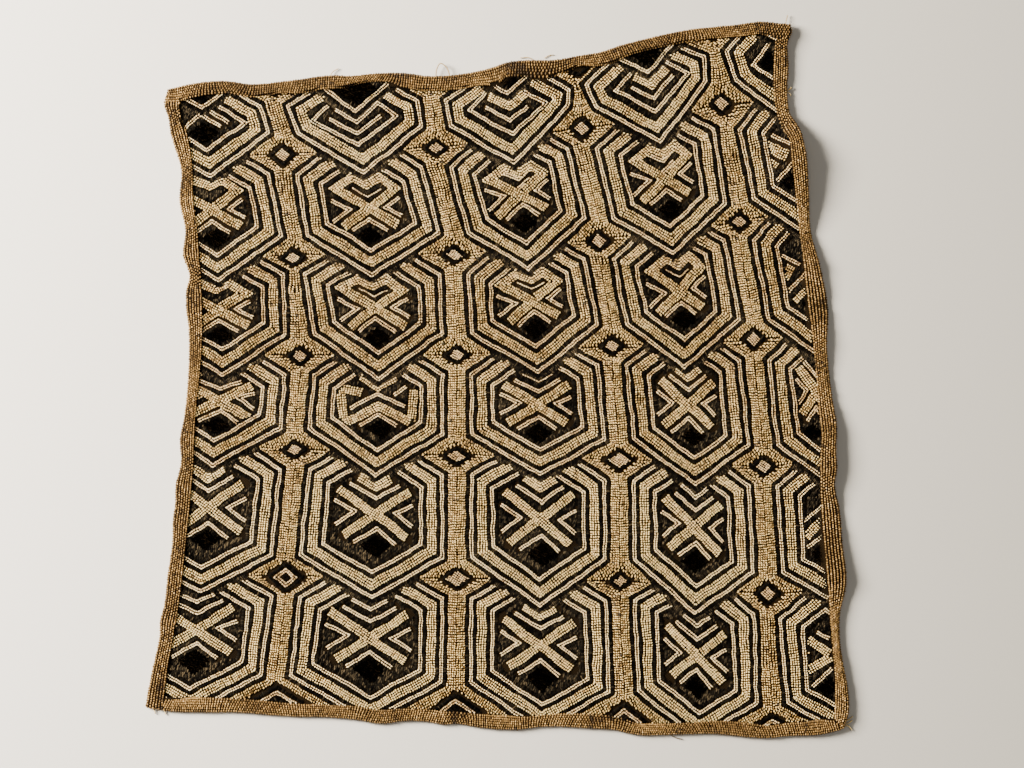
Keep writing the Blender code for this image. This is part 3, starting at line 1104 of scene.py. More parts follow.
@dataclass
class Embroidery:
    """The whole embroidered field."""

    stitcher: Stitcher
    shields: dict[tuple[int, int], Shield] = field(default_factory=dict)
    lozenges: dict[tuple[int, int], np.ndarray] = field(default_factory=dict)

    def lay_out(self) -> None:
        """Place the lozenges, and the shields between them."""
        for row, spots in LOZENGE_ROWS.items():
            places = to_cloth(list(spots))
            for column, place in enumerate(places):
                self.lozenges[(row, column)] = place
            self.lozenges[(row, -1)] = 2 * places[0] - places[1]
            reach = RIGHT_EXTRA_PITCH * PIXEL
            step = places[3] - places[2]
            self.lozenges[(row, 4)] = places[3] + step * (reach / step[0])
        for spot in SHIELDS:
            self.shields[(spot.row, spot.column)] = Shield(spot, self.outline(spot))
        for (row, column), shield in self.shields.items():
            shield.upper = self.shields.get((row - 1, column))
            shield.tone = {-1: 0.88, 0: 0.98, 1: 0.84, 2: 0.74, 3: 0.79, 4: 1.02, 5: 1.08}[row]

    def outline(self, spot: ShieldSpot) -> Polygon:
        """The middle line of a shield's outermost light rows."""
        places = {
            "lower left": self.lozenges[(spot.row, spot.column - 1)] + PIXEL * np.array([15.0, 22.0]),
            "lower right": self.lozenges[(spot.row, spot.column)] + PIXEL * np.array([-15.0, 22.0]),
            "upper left": self.lozenges[(spot.row - 1, spot.column - 1)] + PIXEL * np.array([14.5, -19.5]),
            "upper right": self.lozenges[(spot.row - 1, spot.column)] + PIXEL * np.array([-14.5, -19.5]),
        }
        for corner in CORNERS:
            if (corner.row, corner.column) == (spot.row, spot.column):
                places[corner.name] = to_cloth([corner.spot])[0]
        apex = to_cloth([spot.apex])[0]
        crown = 0.5 * (places["upper left"] + places["upper right"]) + PIXEL * np.array([0.0, 40.0])
        order = (places["upper left"], crown, places["upper right"], places["lower right"], apex)
        return Polygon(np.array([*order, places["lower left"]]))

    def rings(self) -> None:
        """Sew the bands that run round each shield."""
        st = self.stitcher
        for shield in self.shields.values():
            for row in RINGS:
                if row.inset > BAND_END + 3 and shield.spot.motif is Motif.SPIRAL:
                    break
                if row.inset > 4 and shield.spot.motif is Motif.PLAIN:
                    break
                pitch = STITCH_PITCH if row.light else TICK_PITCH
                places, headings = walk(shield.outline.ring(row.inset), pitch, True, shield.outline.corners)
                keep = shield.clear_of_upper(places, row.clear) & st.on_field(places)
                keep &= shield.outline.depth(places) > row.inset - 0.3
                if row.light:
                    st.light_row(st.light, places[keep], headings[keep], row.slant, shield.tone)
                else:
                    st.black_row(st.dark, places[keep], headings[keep], 3.1, 0.42)

    def outer_rows(self) -> None:
        """Sew the light rows between the shields and round the lozenges."""
        st = self.stitcher
        for key, shield in self.shields.items():
            others = [other for name, other in self.shields.items() if name != key]
            for k in range(OUTER_ROWS):
                inset = -OUTER_START - 1.9 * k
                places, headings = walk(shield.outline.ring(inset), STITCH_PITCH, True, shield.outline.corners)
                keep = st.on_field(places)
                places, headings = places[keep], headings[keep]
                if len(places) == 0:
                    continue
                own = shield.outline.depth(places)
                rest = np.max([other.outline.depth(places) for other in others], axis=0)
                room = -0.5 * (own + rest) - OUTER_START - PARTING
                steps = np.maximum(np.round(room / 1.9), 0.0)
                pitch = np.clip(room / np.maximum(steps, 1.0), 1.4, 2.4)
                square = np.column_stack((-headings[:, 1], headings[:, 0]))
                inward = np.sign(((shield.outline.corners.mean(axis=0) - places) * square).sum(axis=1))
                shift = np.where(steps > 0, k * (1.9 - pitch), 0.0) * inward
                places = places + square * shift[:, None]
                rest = np.max([other.outline.depth(places) for other in others], axis=0)
                keep = (rest < -5.0) & (k <= steps) & self.off_lozenges(places)
                keep &= shield.outline.depth(places) >= rest + 0.1
                places, headings = places[keep], headings[keep]
                slant = -50.0 * np.sign(headings[:, 1])
                st.sew(st.outer, places, headings, OUTER_STITCH, slant, 0.85, spread=0.28)

    def lozenge(self, key: tuple[int, int]) -> tuple[np.ndarray, np.ndarray]:
        """The middle of a lozenge's outline, and half its width and height."""
        size = USUAL_LOZENGE
        for row in LOZENGE_SIZES:
            if (row.row, row.column) == key:
                size = row
        middle = self.lozenges[key] - PIXEL * np.array([0.0, size.low])
        return middle, PIXEL * np.array([size.half_right, size.half_down])

    def off_lozenges(self, places: np.ndarray) -> np.ndarray:
        """Which places are outside every lozenge."""
        clear = np.ones(len(places), dtype=bool)
        for key in self.lozenges:
            middle, half = self.lozenge(key)
            reach = np.abs(places - middle) / half
            clear &= reach.sum(axis=1) > 1.17
        return clear

    def lozenge_rows(self) -> None:
        """Sew the lozenges: a black outline and a light middle, or light rows round a black one."""
        st = self.stitcher
        for key in self.lozenges:
            middle, half = self.lozenge(key)
            if not st.on_field(middle[None], 24.0)[0]:
                continue
            corners = middle + np.array([[half[0], 0], [0, half[1]], [-half[0], 0], [0, -half[1]]])
            shape = Polygon(corners)
            depth = float(shape.depth(middle[None])[0])
            black_rows = [1.5]
            light_rows = []
            if half[1] > BLACK_MIDDLE_FROM:
                light_rows = [4.2, 6.0]
                black_rows += [8.2 + 2.2 * k for k in range(4) if 8.2 + 2.2 * k < depth - 0.4]
            for inset in black_rows:
                places, headings = walk(shape.ring(inset), 1.15, True)
                keep = st.on_field(places)
                st.black_row(st.dark, places[keep], headings[keep], 2.4, 0.26)
            for inset in light_rows:
                places, headings = walk(shape.ring(inset), 1.8, True, shape.corners)
                keep = st.on_field(places)
                st.sew(st.narrow, places[keep], headings[keep], (2.4, 1.5, 1.25), 20.0, 0.72)
            if not light_rows and key[0] >= 0:
                self.fill_lozenge(shape, middle)

    def fill_lozenge(self, shape: Polygon, middle: np.ndarray) -> None:
        """Fill a lozenge's middle with short light rows along one of its edges."""
        st = self.stitcher
        edge = shape.corners[1] - shape.corners[0]
        edge = edge / np.linalg.norm(edge)
        square = np.array([-edge[1], edge[0]])
        grid = np.array([(a * 1.75, b * 1.5) for a in range(-6, 7) for b in range(-6, 7)])
        places = middle + grid[:, :1] * edge + grid[:, 1:] * square
        places = places[shape.depth(places) > 2.75]
        keep = st.on_field(places)
        headings = np.tile(edge, (len(places), 1))
        st.sew(st.narrow, places[keep], headings[keep], (2.3, 1.35, 1.3), 25.0, 0.7, spread=0.14)

    def wedges(self) -> None:
        """Sew the brown rows between a shield and the bands that it crosses."""
        st = self.stitcher
        for (row, column), shield in self.shields.items():
            lower = self.shields.get((row + 1, column))
            if lower is None:
                continue
            for inset, inner in ((-5.4, 13.0), (-7.6, 15.0)):
                places, headings = walk(shield.outline.ring(inset), TICK_PITCH, True)
                depth = lower.outline.depth(places)
                keep = st.on_field(places) & (depth > -4.0)
                wide_band = (depth > 4.4) & (depth < 12.4)
                if inset < -6.0:
                    keep &= ~wide_band
                st.sew(st.dark, places[keep], headings[keep], (2.4, 1.5, 0.75), 90.0, 0.75, spread=0.2, loose=0.14)

    def motif_frame(self, shield: Shield, mark: Mark) -> np.ndarray:
        """Place a mark of the cross in its shield."""
        centre = np.array(shield.spot.centre, dtype=float)
        corners = shield.outline.corners
        upper_left, _, upper_right, lower_right, apex, lower_left = corners
        middle = to_cloth([shield.spot.centre])[0]
        left_x = np.interp(middle[1], [lower_left[1], upper_left[1]], [lower_left[0], upper_left[0]])
        right_x = np.interp(middle[1], [lower_right[1], upper_right[1]], [lower_right[0], upper_right[0]])
        side = (right_x - middle[0]) if mark.right > 0 else (middle[0] - left_x)
        stretch = max(side - 16.9, 10.0) / (43.3 * PIXEL)
        upper_apex = to_cloth([shield.upper.spot.apex])[0] if shield.upper else middle + np.array([0, 24.0])
        if mark.up > 0:
            rise = (upper_apex[1] - middle[1]) / (30.5 * PIXEL)
        else:
            rise = (middle[1] - apex[1]) / (72.9 * PIXEL)
        slope = 0.5 * (
            (upper_right[1] - upper_left[1]) / (upper_right[0] - upper_left[0])
            + (lower_right[1] - lower_left[1]) / (lower_right[0] - lower_left[0])
        )
        right = mark.right * PIXEL
        return middle + np.array([right * stretch, mark.up * PIXEL * rise + (slope - 0.043) * right])

    def motif_bars(self, shield: Shield) -> list[Bar]:
        """The bars in the middle of a shield, those on top first."""
        spot = shield.spot
        bars = [
            Bar(to_cloth(list(bar.spots)), bar.rows)
            for bar in CHARTED_BARS
            if (bar.row, bar.column) == (spot.row, spot.column)
        ]
        plan = []
        if spot.motif is Motif.CROSS:
            plan = CROSS_BARS + [LEFT_CHEVRON, RIGHT_CHEVRON, TOP_CHEVRON]
            if spot.extra:
                plan = plan + [Strip(spot.extra, UPPER_MARKS)]
        elif spot.motif is Motif.HEART:
            plan = list(HEART_BARS)
            if spot.extra == 1:
                plan = plan + [Strip(1, HEART_THREAD)]
            elif spot.extra:
                plan = plan + HEART_FILLING
        for rows, marks in plan:
            bars.append(Bar(np.array([self.motif_frame(shield, mark) for mark in marks]), rows))
        return bars

    def motifs(self) -> None:
        """Sew what fills each shield."""
        starts = {Motif.SPIRAL: BAND_END + 2.0, Motif.PLAIN: 3.4}
        for shield in self.shields.values():
            self.sew_bars(shield, self.motif_bars(shield), starts.get(shield.spot.motif, INNER_END + 2.2))

    def sew_bars(self, shield: Shield, bars: list[Bar], start: float) -> None:
        """Sew bars, the black rows beside them and the dark rows round them.

        Args:
            shield: The shield that they fill.
            bars: The bars, those on top first.
            start: How far inside the outline the filling starts.
        """
        st = self.stitcher
        for index, bar in enumerate(bars):
            for k in range(bar.rows):
                shift = (k - (bar.rows - 1) / 2.0) * ROW_PITCH
                places, headings = walk(beside(bar.points, shift), STITCH_PITCH, False, bar.points)
                keep = st.on_field(places) & shield.clear_of_upper(places, 5.5)
                keep &= shield.outline.depth(places) > start - 1.6
                for other in bars[:index]:
                    keep &= distance_to_line(places, other.points) > other.half() - 0.4
                slant = 15.0 if k % 2 else -15.0
                if bar.rows > 2:
                    slant = 48.0 if k in (0, bar.rows - 1) else 34.0
                st.light_row(st.motif, places[keep], headings[keep], slant, shield.tone)
        for index, bar in enumerate(bars):
            for shift in (-bar.half() - 1.45, bar.half() + 1.45):
                places, headings = walk(beside(bar.points, shift), TICK_PITCH, False)
                keep = st.on_field(places) & shield.clear_of_upper(places, 4.8)
                keep &= shield.outline.depth(places) > start - 0.5
                for number, other in enumerate(bars):
                    reach = other.half() + (1.3 if number != index else 0.9)
                    keep &= distance_to_line(places, other.points) > reach
                st.black_row(st.fill, places[keep], headings[keep], 2.6, 0.4)
        pile = None
        if shield.spot.pile is not None:
            middle = to_cloth([shield.spot.pile])[0]
            half = PIXEL * np.array([shield.spot.pile_right, shield.spot.pile_down])
            pile = (middle, half)
            self.sew_pile(shield, middle, half, bars)
        low, high = shield.outline.corners.min(axis=0), shield.outline.corners.max(axis=0)
        across = np.arange(low[0], high[0], 1.4)
        along = np.arange(low[1], high[1], 1.75)
        places = np.array([(x, y) for x in across for y in along])
        keep = shield.outline.depth(places) > start + 0.6
        keep &= st.on_field(places) & shield.clear_of_upper(places, 5.0)
        for bar in bars:
            keep &= distance_to_line(places, bar.points) > bar.half() + 1.5
        if pile is not None:
            reach = np.abs(places - pile[0]) / pile[1]
            keep &= reach.sum(axis=1) > 1.0
        places = places[keep]
        headings = np.tile(np.array([1.0, 0.0]), (len(places), 1))
        st.sew(st.fill, places, headings, (2.5, 1.7, 0.8), 72.0, 0.6, spread=0.24, loose=0.14)

    def sew_pile(self, shield: Shield, middle: np.ndarray, half: np.ndarray, bars: list[Bar]) -> None:
        """Set a patch of cut pile."""
        st = self.stitcher
        pitch = 0.95
        across = np.arange(-half[0], half[0] + pitch, pitch)
        along = np.arange(-half[1], half[1] + pitch, pitch)
        grid = np.array([(x, y) for x in across for y in along])
        grid = grid + st.rng.normal(0.0, 0.28, grid.shape)
        keep = (np.abs(grid) / half).sum(axis=1) < 1.0
        places = grid[keep] + middle
        keep = st.on_field(places) & shield.clear_of_upper(places, 4.6)
        for bar in bars:
            keep &= distance_to_line(places, bar.points) > bar.half() + 0.4
        places = places[keep]
        turn = st.rng.uniform(0.0, 6.28, len(places))
        headings = np.column_stack((np.cos(turn), np.sin(turn)))
        st.sew(st.pile, places, headings, (1.35, 1.2, 1.7), 0.0, 0.4, spread=0.25, loose=0.16)

    def make(self) -> None:
        """Sew everything."""
        self.lay_out()
        self.rings()
        self.outer_rows()
        self.lozenge_rows()
        self.wedges()
        self.motifs()


@dataclass
class GroundCloth:
    """The sheet of woven raffia with its turned hems."""

    lay: Lay
    face: bpy.types.Material
    back: bpy.types.Material
    edge_steps: tuple[float, ...] = (
        0.0, 0.15, 0.45, 0.9, 1.5, 2.3, 3.6, 5.2, 6.8, 8.2, 8.8, 9.3, 9.8, 10.3, 10.8, 11.3, 11.8, 12.3, 12.9, 13.6,
    )

    def fractions(self, length: float, steps: int) -> np.ndarray:
        """Fractions of a side at which the grid has a line."""
        edge = np.array(self.edge_steps)
        inner = np.linspace(edge[-1], length - edge[-1], steps + 1)[1:-1]
        return np.concatenate((edge, inner, length - edge[::-1])) / length

    def patch(self, across: np.ndarray, along: np.ndarray) -> np.ndarray:
        """Places of the grid's points between the four sides, by column and row."""
        left = curve_points(LEFT_SIDE, along)
        right = curve_points(RIGHT_SIDE, along)
        top = curve_points(TOP_SIDE, across)
        bottom = curve_points(BOTTOM_SIDE, across)
        u = across[:, None, None]
        v = along[None, :, None]
        between_sides = (1 - u) * left[None] + u * right[None]
        between_ends = (1 - v) * bottom[:, None] + v * top[:, None]
        lower = (1 - u) * left[0] + u * right[0]
        upper = (1 - u) * left[-1] + u * right[-1]
        return between_sides + between_ends - (1 - v) * lower - v * upper

    def make(self) -> bpy.types.Object:
        """Make the closed sheet: an upper and a lower grid, joined at the rim."""
        across = self.fractions(530.0, FIELD_COLUMNS)
        along = self.fractions(540.0, FIELD_ROWS)
        places = self.patch(across, along)
        columns, rows = len(across) - 1, len(along) - 1
        x, y = places[:, :, 0], places[:, :, 1]
        upper = self.lay.upper(x, y)
        under = self.lay.under(x, y)
        bm = bmesh.new()
        bmesh.ops.create_grid(bm, x_segments=columns, y_segments=rows, size=0.5)
        order = [(round((v.co.x + 0.5) * columns), round((v.co.y + 0.5) * rows)) for v in bm.verts]
        count = len(order)
        for face in bm.faces:
            face.material_index = 0
        copy = bmesh.ops.duplicate(bm, geom=bm.verts[:] + bm.edges[:] + bm.faces[:])
        lower_faces = [item for item in copy["geom"] if isinstance(item, bmesh.types.BMFace)]
        lower_verts = [copy["vert_map"][vert] for vert in bm.verts[:count]]
        bm.verts.ensure_lookup_table()
        for vert, low, (column, row) in zip(bm.verts[:count], lower_verts, order):
            px, py = places[column, row]
            vert.co = (px * MM, py * MM, upper[column, row] * MM)
            low.co = (px * MM, py * MM, under[column, row] * MM)
        for face in lower_faces:
            face.material_index = 1
        bmesh.ops.reverse_faces(bm, faces=lower_faces)
        rim = [edge for edge in bm.edges if edge.is_boundary]
        bmesh.ops.bridge_loops(bm, edges=rim)
        bmesh.ops.recalc_face_normals(bm, faces=bm.faces[:])
        mesh = bpy.data.meshes.new("ground_cloth")
        bm.to_mesh(mesh)
        bm.free()
        mesh.shade_smooth()
        piece = bpy.data.objects.new("ground_cloth", mesh)
        bpy.context.scene.collection.objects.link(piece)
        mesh.materials.append(self.face)
        mesh.materials.append(self.back)
        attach(piece, "root")
        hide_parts(CLOTH_NODE)
        LOG.info("ground cloth: %d faces", len(mesh.polygons))
        return piece


# Places where a hem is made darker or lighter: painted shade in creases and pleats, painted light beside a fold, and
# other darker and lighter patches.
HemShadeAndPatch = namedtuple("HemShadeAndPatch", "spot reach_right reach_down change")
HEM_SHADE_AND_PATCHES = [
    HemShadeAndPatch(Spot(519, 68), 15, 9, -0.17),
    HemShadeAndPatch(Spot(530, 66), 2.2, 1.8, 0.4),
    # Painted shade in the bottom hem's pleats.
    HemShadeAndPatch(Spot(455, 716), 3.2, 11, -0.4),
    HemShadeAndPatch(Spot(527, 724), 2.6, 8, -0.25),
    HemShadeAndPatch(Spot(592, 722), 2.6, 8, -0.25),
    HemShadeAndPatch(Spot(676, 730), 10, 4, -0.2),
    # Painted shade in the fold at the lower left corner, with painted light beside it.
    HemShadeAndPatch(Spot(161.5, 690), 2.8, 20, -0.3),
    HemShadeAndPatch(Spot(151.5, 690), 3.5, 20, 0.12),
    HemShadeAndPatch(Spot(160.5, 677), 2, 2, 0.35),
    # Painted shade in the crease of the lower right mitre.
    HemShadeAndPatch(Spot(805, 724), 3, 7, -0.25),
    HemShadeAndPatch(Spot(838, 650), 3, 6, -0.2),
]


@dataclass
class HemWeave:
    """The raised weave of the hems, which shows as beads in ribs."""

    lay: Lay
    bank: StitchBank
    rib_pitch: float = 1.95
    rng: np.random.Generator = field(default_factory=lambda: np.random.default_rng(SEED + 3))

    def side_rows(self, outer: np.ndarray, inner_gap: str, upright: bool) -> None:
        """Lay the beads of one side.

        Args:
            outer: The side's line, sampled finely.
            inner_gap: Which side it is, by name.
            upright: Whether its ribs run across the hem.
        """
        runs = np.linalg.norm(np.diff(outer, axis=0), axis=1)
        lengths = np.concatenate(([0.0], np.cumsum(runs)))
        count = int(lengths[-1] / self.rib_pitch)
        stations = (np.arange(count) + 0.5) / count * lengths[-1]
        base = np.column_stack([np.interp(stations, lengths, outer[:, axis]) for axis in (0, 1)])
        ahead = np.column_stack([np.interp(stations + 3.0, lengths, outer[:, axis]) for axis in (0, 1)])
        behind = np.column_stack([np.interp(stations - 3.0, lengths, outer[:, axis]) for axis in (0, 1)])
        tangent = ahead - behind
        tangent = tangent / np.linalg.norm(tangent, axis=1)[:, None]
        inward = np.column_stack((-tangent[:, 1], tangent[:, 0]))
        middle = np.array([0.0, 0.0])
        flip = np.sign(((middle - base) * inward).sum(axis=1))
        inward = inward * flip[:, None]
        names = ["left", "right", "top", "bottom"]
        side = names.index(inner_gap)
        _, widths = self.lay.side_gaps(base[:, 0], base[:, 1])
        width = widths[side]
        rows = 6
        for k in range(-2, rows):
            share = (k + 0.5) / rows
            depth = np.where(share > 0, share * width, 0.0)
            stagger = (0.5 if k % 2 else 0.0) * self.rib_pitch
            shift = tangent * (stagger - 0.25 * self.rib_pitch)
            if upright:
                lean = 0.45 * soft_noise(base[:, 0], base[:, 1], 70.0, SEED + 15)
                shift = shift + tangent * (lean * depth)[:, None]
            places = base + inward * depth[:, None] + shift
            if k == -1:
                places = base + inward * 0.12 + shift
            if k == -2:
                places = base + inward * 0.45 + shift
            x, y = places[:, 0], places[:, 1]
            height = self.lay.upper(x, y) - 0.25
            normals = np.zeros((count, 3))
            normals[:, 2] = 1.0
            if k == 0:
                normals[:, :2] = -0.5 * inward
            if k == -1:
                height = self.lay.lift(x, y) + RIM_MIDDLE
                normals[:, :2] = -2.2 * inward
            if k == -2:
                height = self.lay.lift(x, y) + 0.75
                normals[:, :2] = -1.0 * inward
                normals[:, 2] = -0.45
            normals = normals / np.linalg.norm(normals, axis=1)[:, None]
            along = np.column_stack((tangent, np.zeros(count)))
            if upright:
                along = np.column_stack((inward, np.zeros(count)))
                if k < 0:
                    along = np.tile(np.array([0.0, 0.0, 1.0]), (count, 1))
            angle = self.rng.normal(0.0, 0.12, count)
            spin = np.cross(normals, along)
            along = along * np.cos(angle)[:, None] + spin * np.sin(angle)[:, None]
            sizes = np.tile(np.array([2.5, 1.75, 0.95]), (count, 1))
            if upright:
                sizes[:, 0] = width / rows * 1.5
            sizes = sizes * (1.0 + self.rng.normal(0.0, 0.1, (count, 3)))
            spread = 0.13 if upright else 0.17
            # Each hem's tone by side, lighter or darker as painted light and shade for how the light falls on that
            # side.
            side_painted_light = {"left": 0.46, "right": 0.54, "top": 0.39, "bottom": 0.5}[inner_gap]
            shades = side_painted_light + self.rng.normal(0.0, spread, count) + 0.1 * soft_noise(x, y, 30.0, SEED + 12)
            # Painted shade in creases and pleats, painted light beside a fold, and other darker and lighter patches.
            for mark in HEM_SHADE_AND_PATCHES:
                middle = to_cloth([mark.spot])[0]
                reach = np.hypot(
                    (x - middle[0]) / (mark.reach_right * PIXEL), (y - middle[1]) / (mark.reach_down * PIXEL)
                )
                shades = shades + mark.change * np.clip(1.5 - reach, 0.0, 1.0)
            if k < 0:
                sizes[:, 0] = np.minimum(sizes[:, 0], 2.0)
            centres = np.column_stack((x, y, height)) + self.rng.normal(0.0, 0.1, (count, 3))
            across = np.cross(normals, along)
            hang = 0.5 * sizes[:, 0] * np.abs(along[:, 2]) + 0.5 * sizes[:, 1] * np.abs(across[:, 2])
            hang = hang + sizes[:, 2] * np.maximum(-normals[:, 2], 0.0) * 0.6
            centres[:, 2] = np.maximum(centres[:, 2], self.lay.lift(x, y) + hang + 0.05)
            keep = self.keep_corner(x, y, side, k < 0)
            self.bank.add(
                centres[keep], along[keep], normals[keep], sizes[keep], np.clip(shades, 0.05, 1.0)[keep]
            )

    def keep_corner(self, x: np.ndarray, y: np.ndarray, side: int, rim: bool) -> np.ndarray:
        """Which beads a side keeps where two hems meet.

        The top hem lies over the ends of the side hems, the left hem over the end of
        the bottom one, and the bottom and the right one meet in a mitre.

        Args:
            x: The beads' places in millimetres.
            y: The beads' places in millimetres.
            side: The side's number: left, right, top or bottom.
            rim: Whether they are the rim's beads, which run on to the corners.
        """
        gaps, widths = self.lay.side_gaps(x, y)
        on_hem = gaps < widths
        keep = gaps.min(axis=0) > -0.6
        if rim:
            return keep & (np.argmin(gaps, axis=0) == side)
        left, right, top, bottom = range(4)
        if side in (left, right):
            keep &= ~on_hem[top]
        if side == right:
            keep &= (gaps[right] <= gaps[bottom]) | ~on_hem[bottom]
        if side == bottom:
            keep &= ~on_hem[left] & ((gaps[bottom] < gaps[right]) | ~on_hem[right])
        return keep

    def make(self) -> bpy.types.Object:
        """Make the beads of the four hems."""
        self.side_rows(self.lay.left, "left", False)
        self.side_rows(self.lay.right, "right", False)
        self.side_rows(self.lay.top, "top", True)
        self.side_rows(self.lay.bottom, "bottom", True)
        return self.bank.make()


# Threads that stand out of the hems: their thickness and shade, their course in
# the photograph, and their height over the surface at its ends and its middle.
LooseThread = namedtuple("LooseThread", "thick shade spots heights")
LOOSE_THREADS = [
    LooseThread(1.0, 0.55, (Spot(436, 77), Spot(436.8, 70), Spot(440.5, 64), Spot(446, 67), Spot(450, 76)), (2.2, 3.5)),
    LooseThread(0.8, 0.7, (Spot(330, 77), Spot(333, 72), Spot(338, 69)), (2.0, 0.8)),
    LooseThread(0.8, 0.6, (Spot(521, 58), Spot(528, 57.6), Spot(536, 62)), (0.5, 0.5)),
    LooseThread(0.75, 0.6, (Spot(545, 58), Spot(549, 55.5), Spot(553, 55)), (0.5, 0.5)),
    LooseThread(0.75, 0.6, (Spot(785, 26), Spot(786, 21), Spot(787.3, 16)), (2.4, 1.5)),
    LooseThread(0.9, 0.1, (Spot(668, 732), Spot(674, 737), Spot(681.5, 739)), (1.8, 0.5)),
    LooseThread(1.1, 0.95, (Spot(842, 722), Spot(848, 719.5), Spot(852, 716.5)), (2.0, 1.6)),
    LooseThread(1.1, 0.95, (Spot(842, 724), Spot(848, 723), Spot(851.5, 720.5)), (2.0, 1.2)),
    LooseThread(1.1, 0.95, (Spot(842, 725), Spot(848.5, 726), Spot(851.5, 729.5)), (2.0, 0.8)),
    LooseThread(0.9, 0.85, (Spot(785, 91.5), Spot(788.5, 90), Spot(791, 88)), (2.4, 2.0)),
    LooseThread(0.9, 0.85, (Spot(785, 92), Spot(789, 93.5), Spot(790.5, 95.5)), (2.4, 2.0)),
    LooseThread(1.0, 0.9, (Spot(152, 707), Spot(154.4, 710), Spot(155.4, 713)), (1.6, 0.7)),
    LooseThread(1.0, 0.9, (Spot(162, 708), Spot(164.7, 711), Spot(166, 714)), (1.6, 0.7)),
]


@dataclass
class LooseThreads:
    """Loose ends of raffia, each a chain of short overlapping lengths."""

    bank: StitchBank
    pitch: float = 0.7

    def make(self) -> bpy.types.Object:
        """Lay the threads."""
        for thread in LOOSE_THREADS:
            course = to_cloth(list(thread.spots))
            length = float(np.linalg.norm(np.diff(course, axis=0), axis=1).sum())
            shares = np.linspace(0.0, 1.0, max(int(length / self.pitch), 4))
            flat = curve_points(course, shares)
            start, end = thread.heights
            height = start + (end - start) * shares
            if len(thread.spots) > 3:
                height = start + (end - start) * np.sin(math.pi * shares)
            places = np.column_stack((flat, height))
            along = np.gradient(places, axis=0)
            along = along / np.linalg.norm(along, axis=1)[:, None]
            side = np.column_stack((-along[:, 1], along[:, 0], np.zeros(len(along))))
            side = side / np.linalg.norm(side, axis=1)[:, None]
            count = len(places)
            sizes = np.tile(np.array([self.pitch * 2.4, thread.thick, thread.thick]), (count, 1))
            self.bank.add(places, along, np.cross(along, side), sizes, np.full(count, thread.shade))
        return self.bank.make()


def add_node(tree: bpy.types.NodeTree, kind: str, settings: dict, links: dict) -> bpy.types.Node:
    """Add a node with its settings and links.

    Args:
        tree: The material's node tree.
        kind: The node's type.
        settings: Properties by name, and input values by input name or number.
        links: Output sockets by the input that each goes to.

    Returns:
        The node.
    """
    node = tree.nodes.new(kind)
    for name, value in settings.items():
        if isinstance(name, str) and hasattr(node, name):
            setattr(node, name, value)
        else:
            node.inputs[name].default_value = value
    for name, socket in links.items():
        tree.links.new(socket, node.inputs[name])
    return node


def set_ramp(node: bpy.types.Node, stops: list[tuple[float, str]]) -> None:
    """Give a colour ramp its stops, as places and sRGB hex values."""
    ramp = node.color_ramp
    while len(ramp.elements) > 1:
        ramp.elements.remove(ramp.elements[-1])
    ramp.elements[0].position = stops[0][0]
    ramp.elements[0].color = srgb(stops[0][1])
    for place, code in stops[1:]:
        ramp.elements.new(place).color = srgb(code)


@dataclass(frozen=True)
class RaffiaFinish:
    """Raffia palm fibre, split and sewn or woven, from its darkest to its lightest."""

    name: str
    stops: tuple[tuple[float, str], ...]
    roughness: float
    gloss: float = 0.5
    fibre: float = 0.12

    def make(self) -> bpy.types.Material:
        """Make the material: colour by stitch from its tone and its painted shade, with fine fibres as bump."""
        material = bpy.data.materials.new(self.name)
        material.use_nodes = True
        tree = material.node_tree
        shader = tree.nodes["Principled BSDF"]
        shade = add_node(tree, "ShaderNodeAttribute", {"attribute_name": "shade"}, {})
        place = add_node(tree, "ShaderNodeTexCoord", {}, {})
        fleck = add_node(
            tree, "ShaderNodeTexNoise", {"Scale": 900.0, "Detail": 2.0}, {"Vector": place.outputs["Object"]}
        )
        mixed = add_node(
            tree,
            "ShaderNodeMath",
            {"operation": "MULTIPLY_ADD", 1: 0.22, 2: -0.11},
            {0: fleck.outputs["Fac"]},
        )
        total = add_node(
            tree, "ShaderNodeMath", {"operation": "ADD"}, {0: shade.outputs["Fac"], 1: mixed.outputs[0]}
        )
        ramp = add_node(tree, "ShaderNodeValToRGB", {}, {"Fac": total.outputs[0]})
        set_ramp(ramp, list(self.stops))
        tree.links.new(ramp.outputs["Color"], shader.inputs["Base Color"])
        shader.inputs["Roughness"].default_value = self.roughness
        shader.inputs["Specular IOR Level"].default_value = self.gloss
        fibres = add_node(
            tree, "ShaderNodeTexNoise", {"Scale": 2200.0, "Detail": 1.0}, {"Vector": place.outputs["Object"]}
        )
        bump = add_node(
            tree,
            "ShaderNodeBump",
            {"Strength": self.fibre, "Distance": 0.0003},
            {"Height": fibres.outputs["Fac"]},
        )
        tree.links.new(bump.outputs["Normal"], shader.inputs["Normal"])
        return material


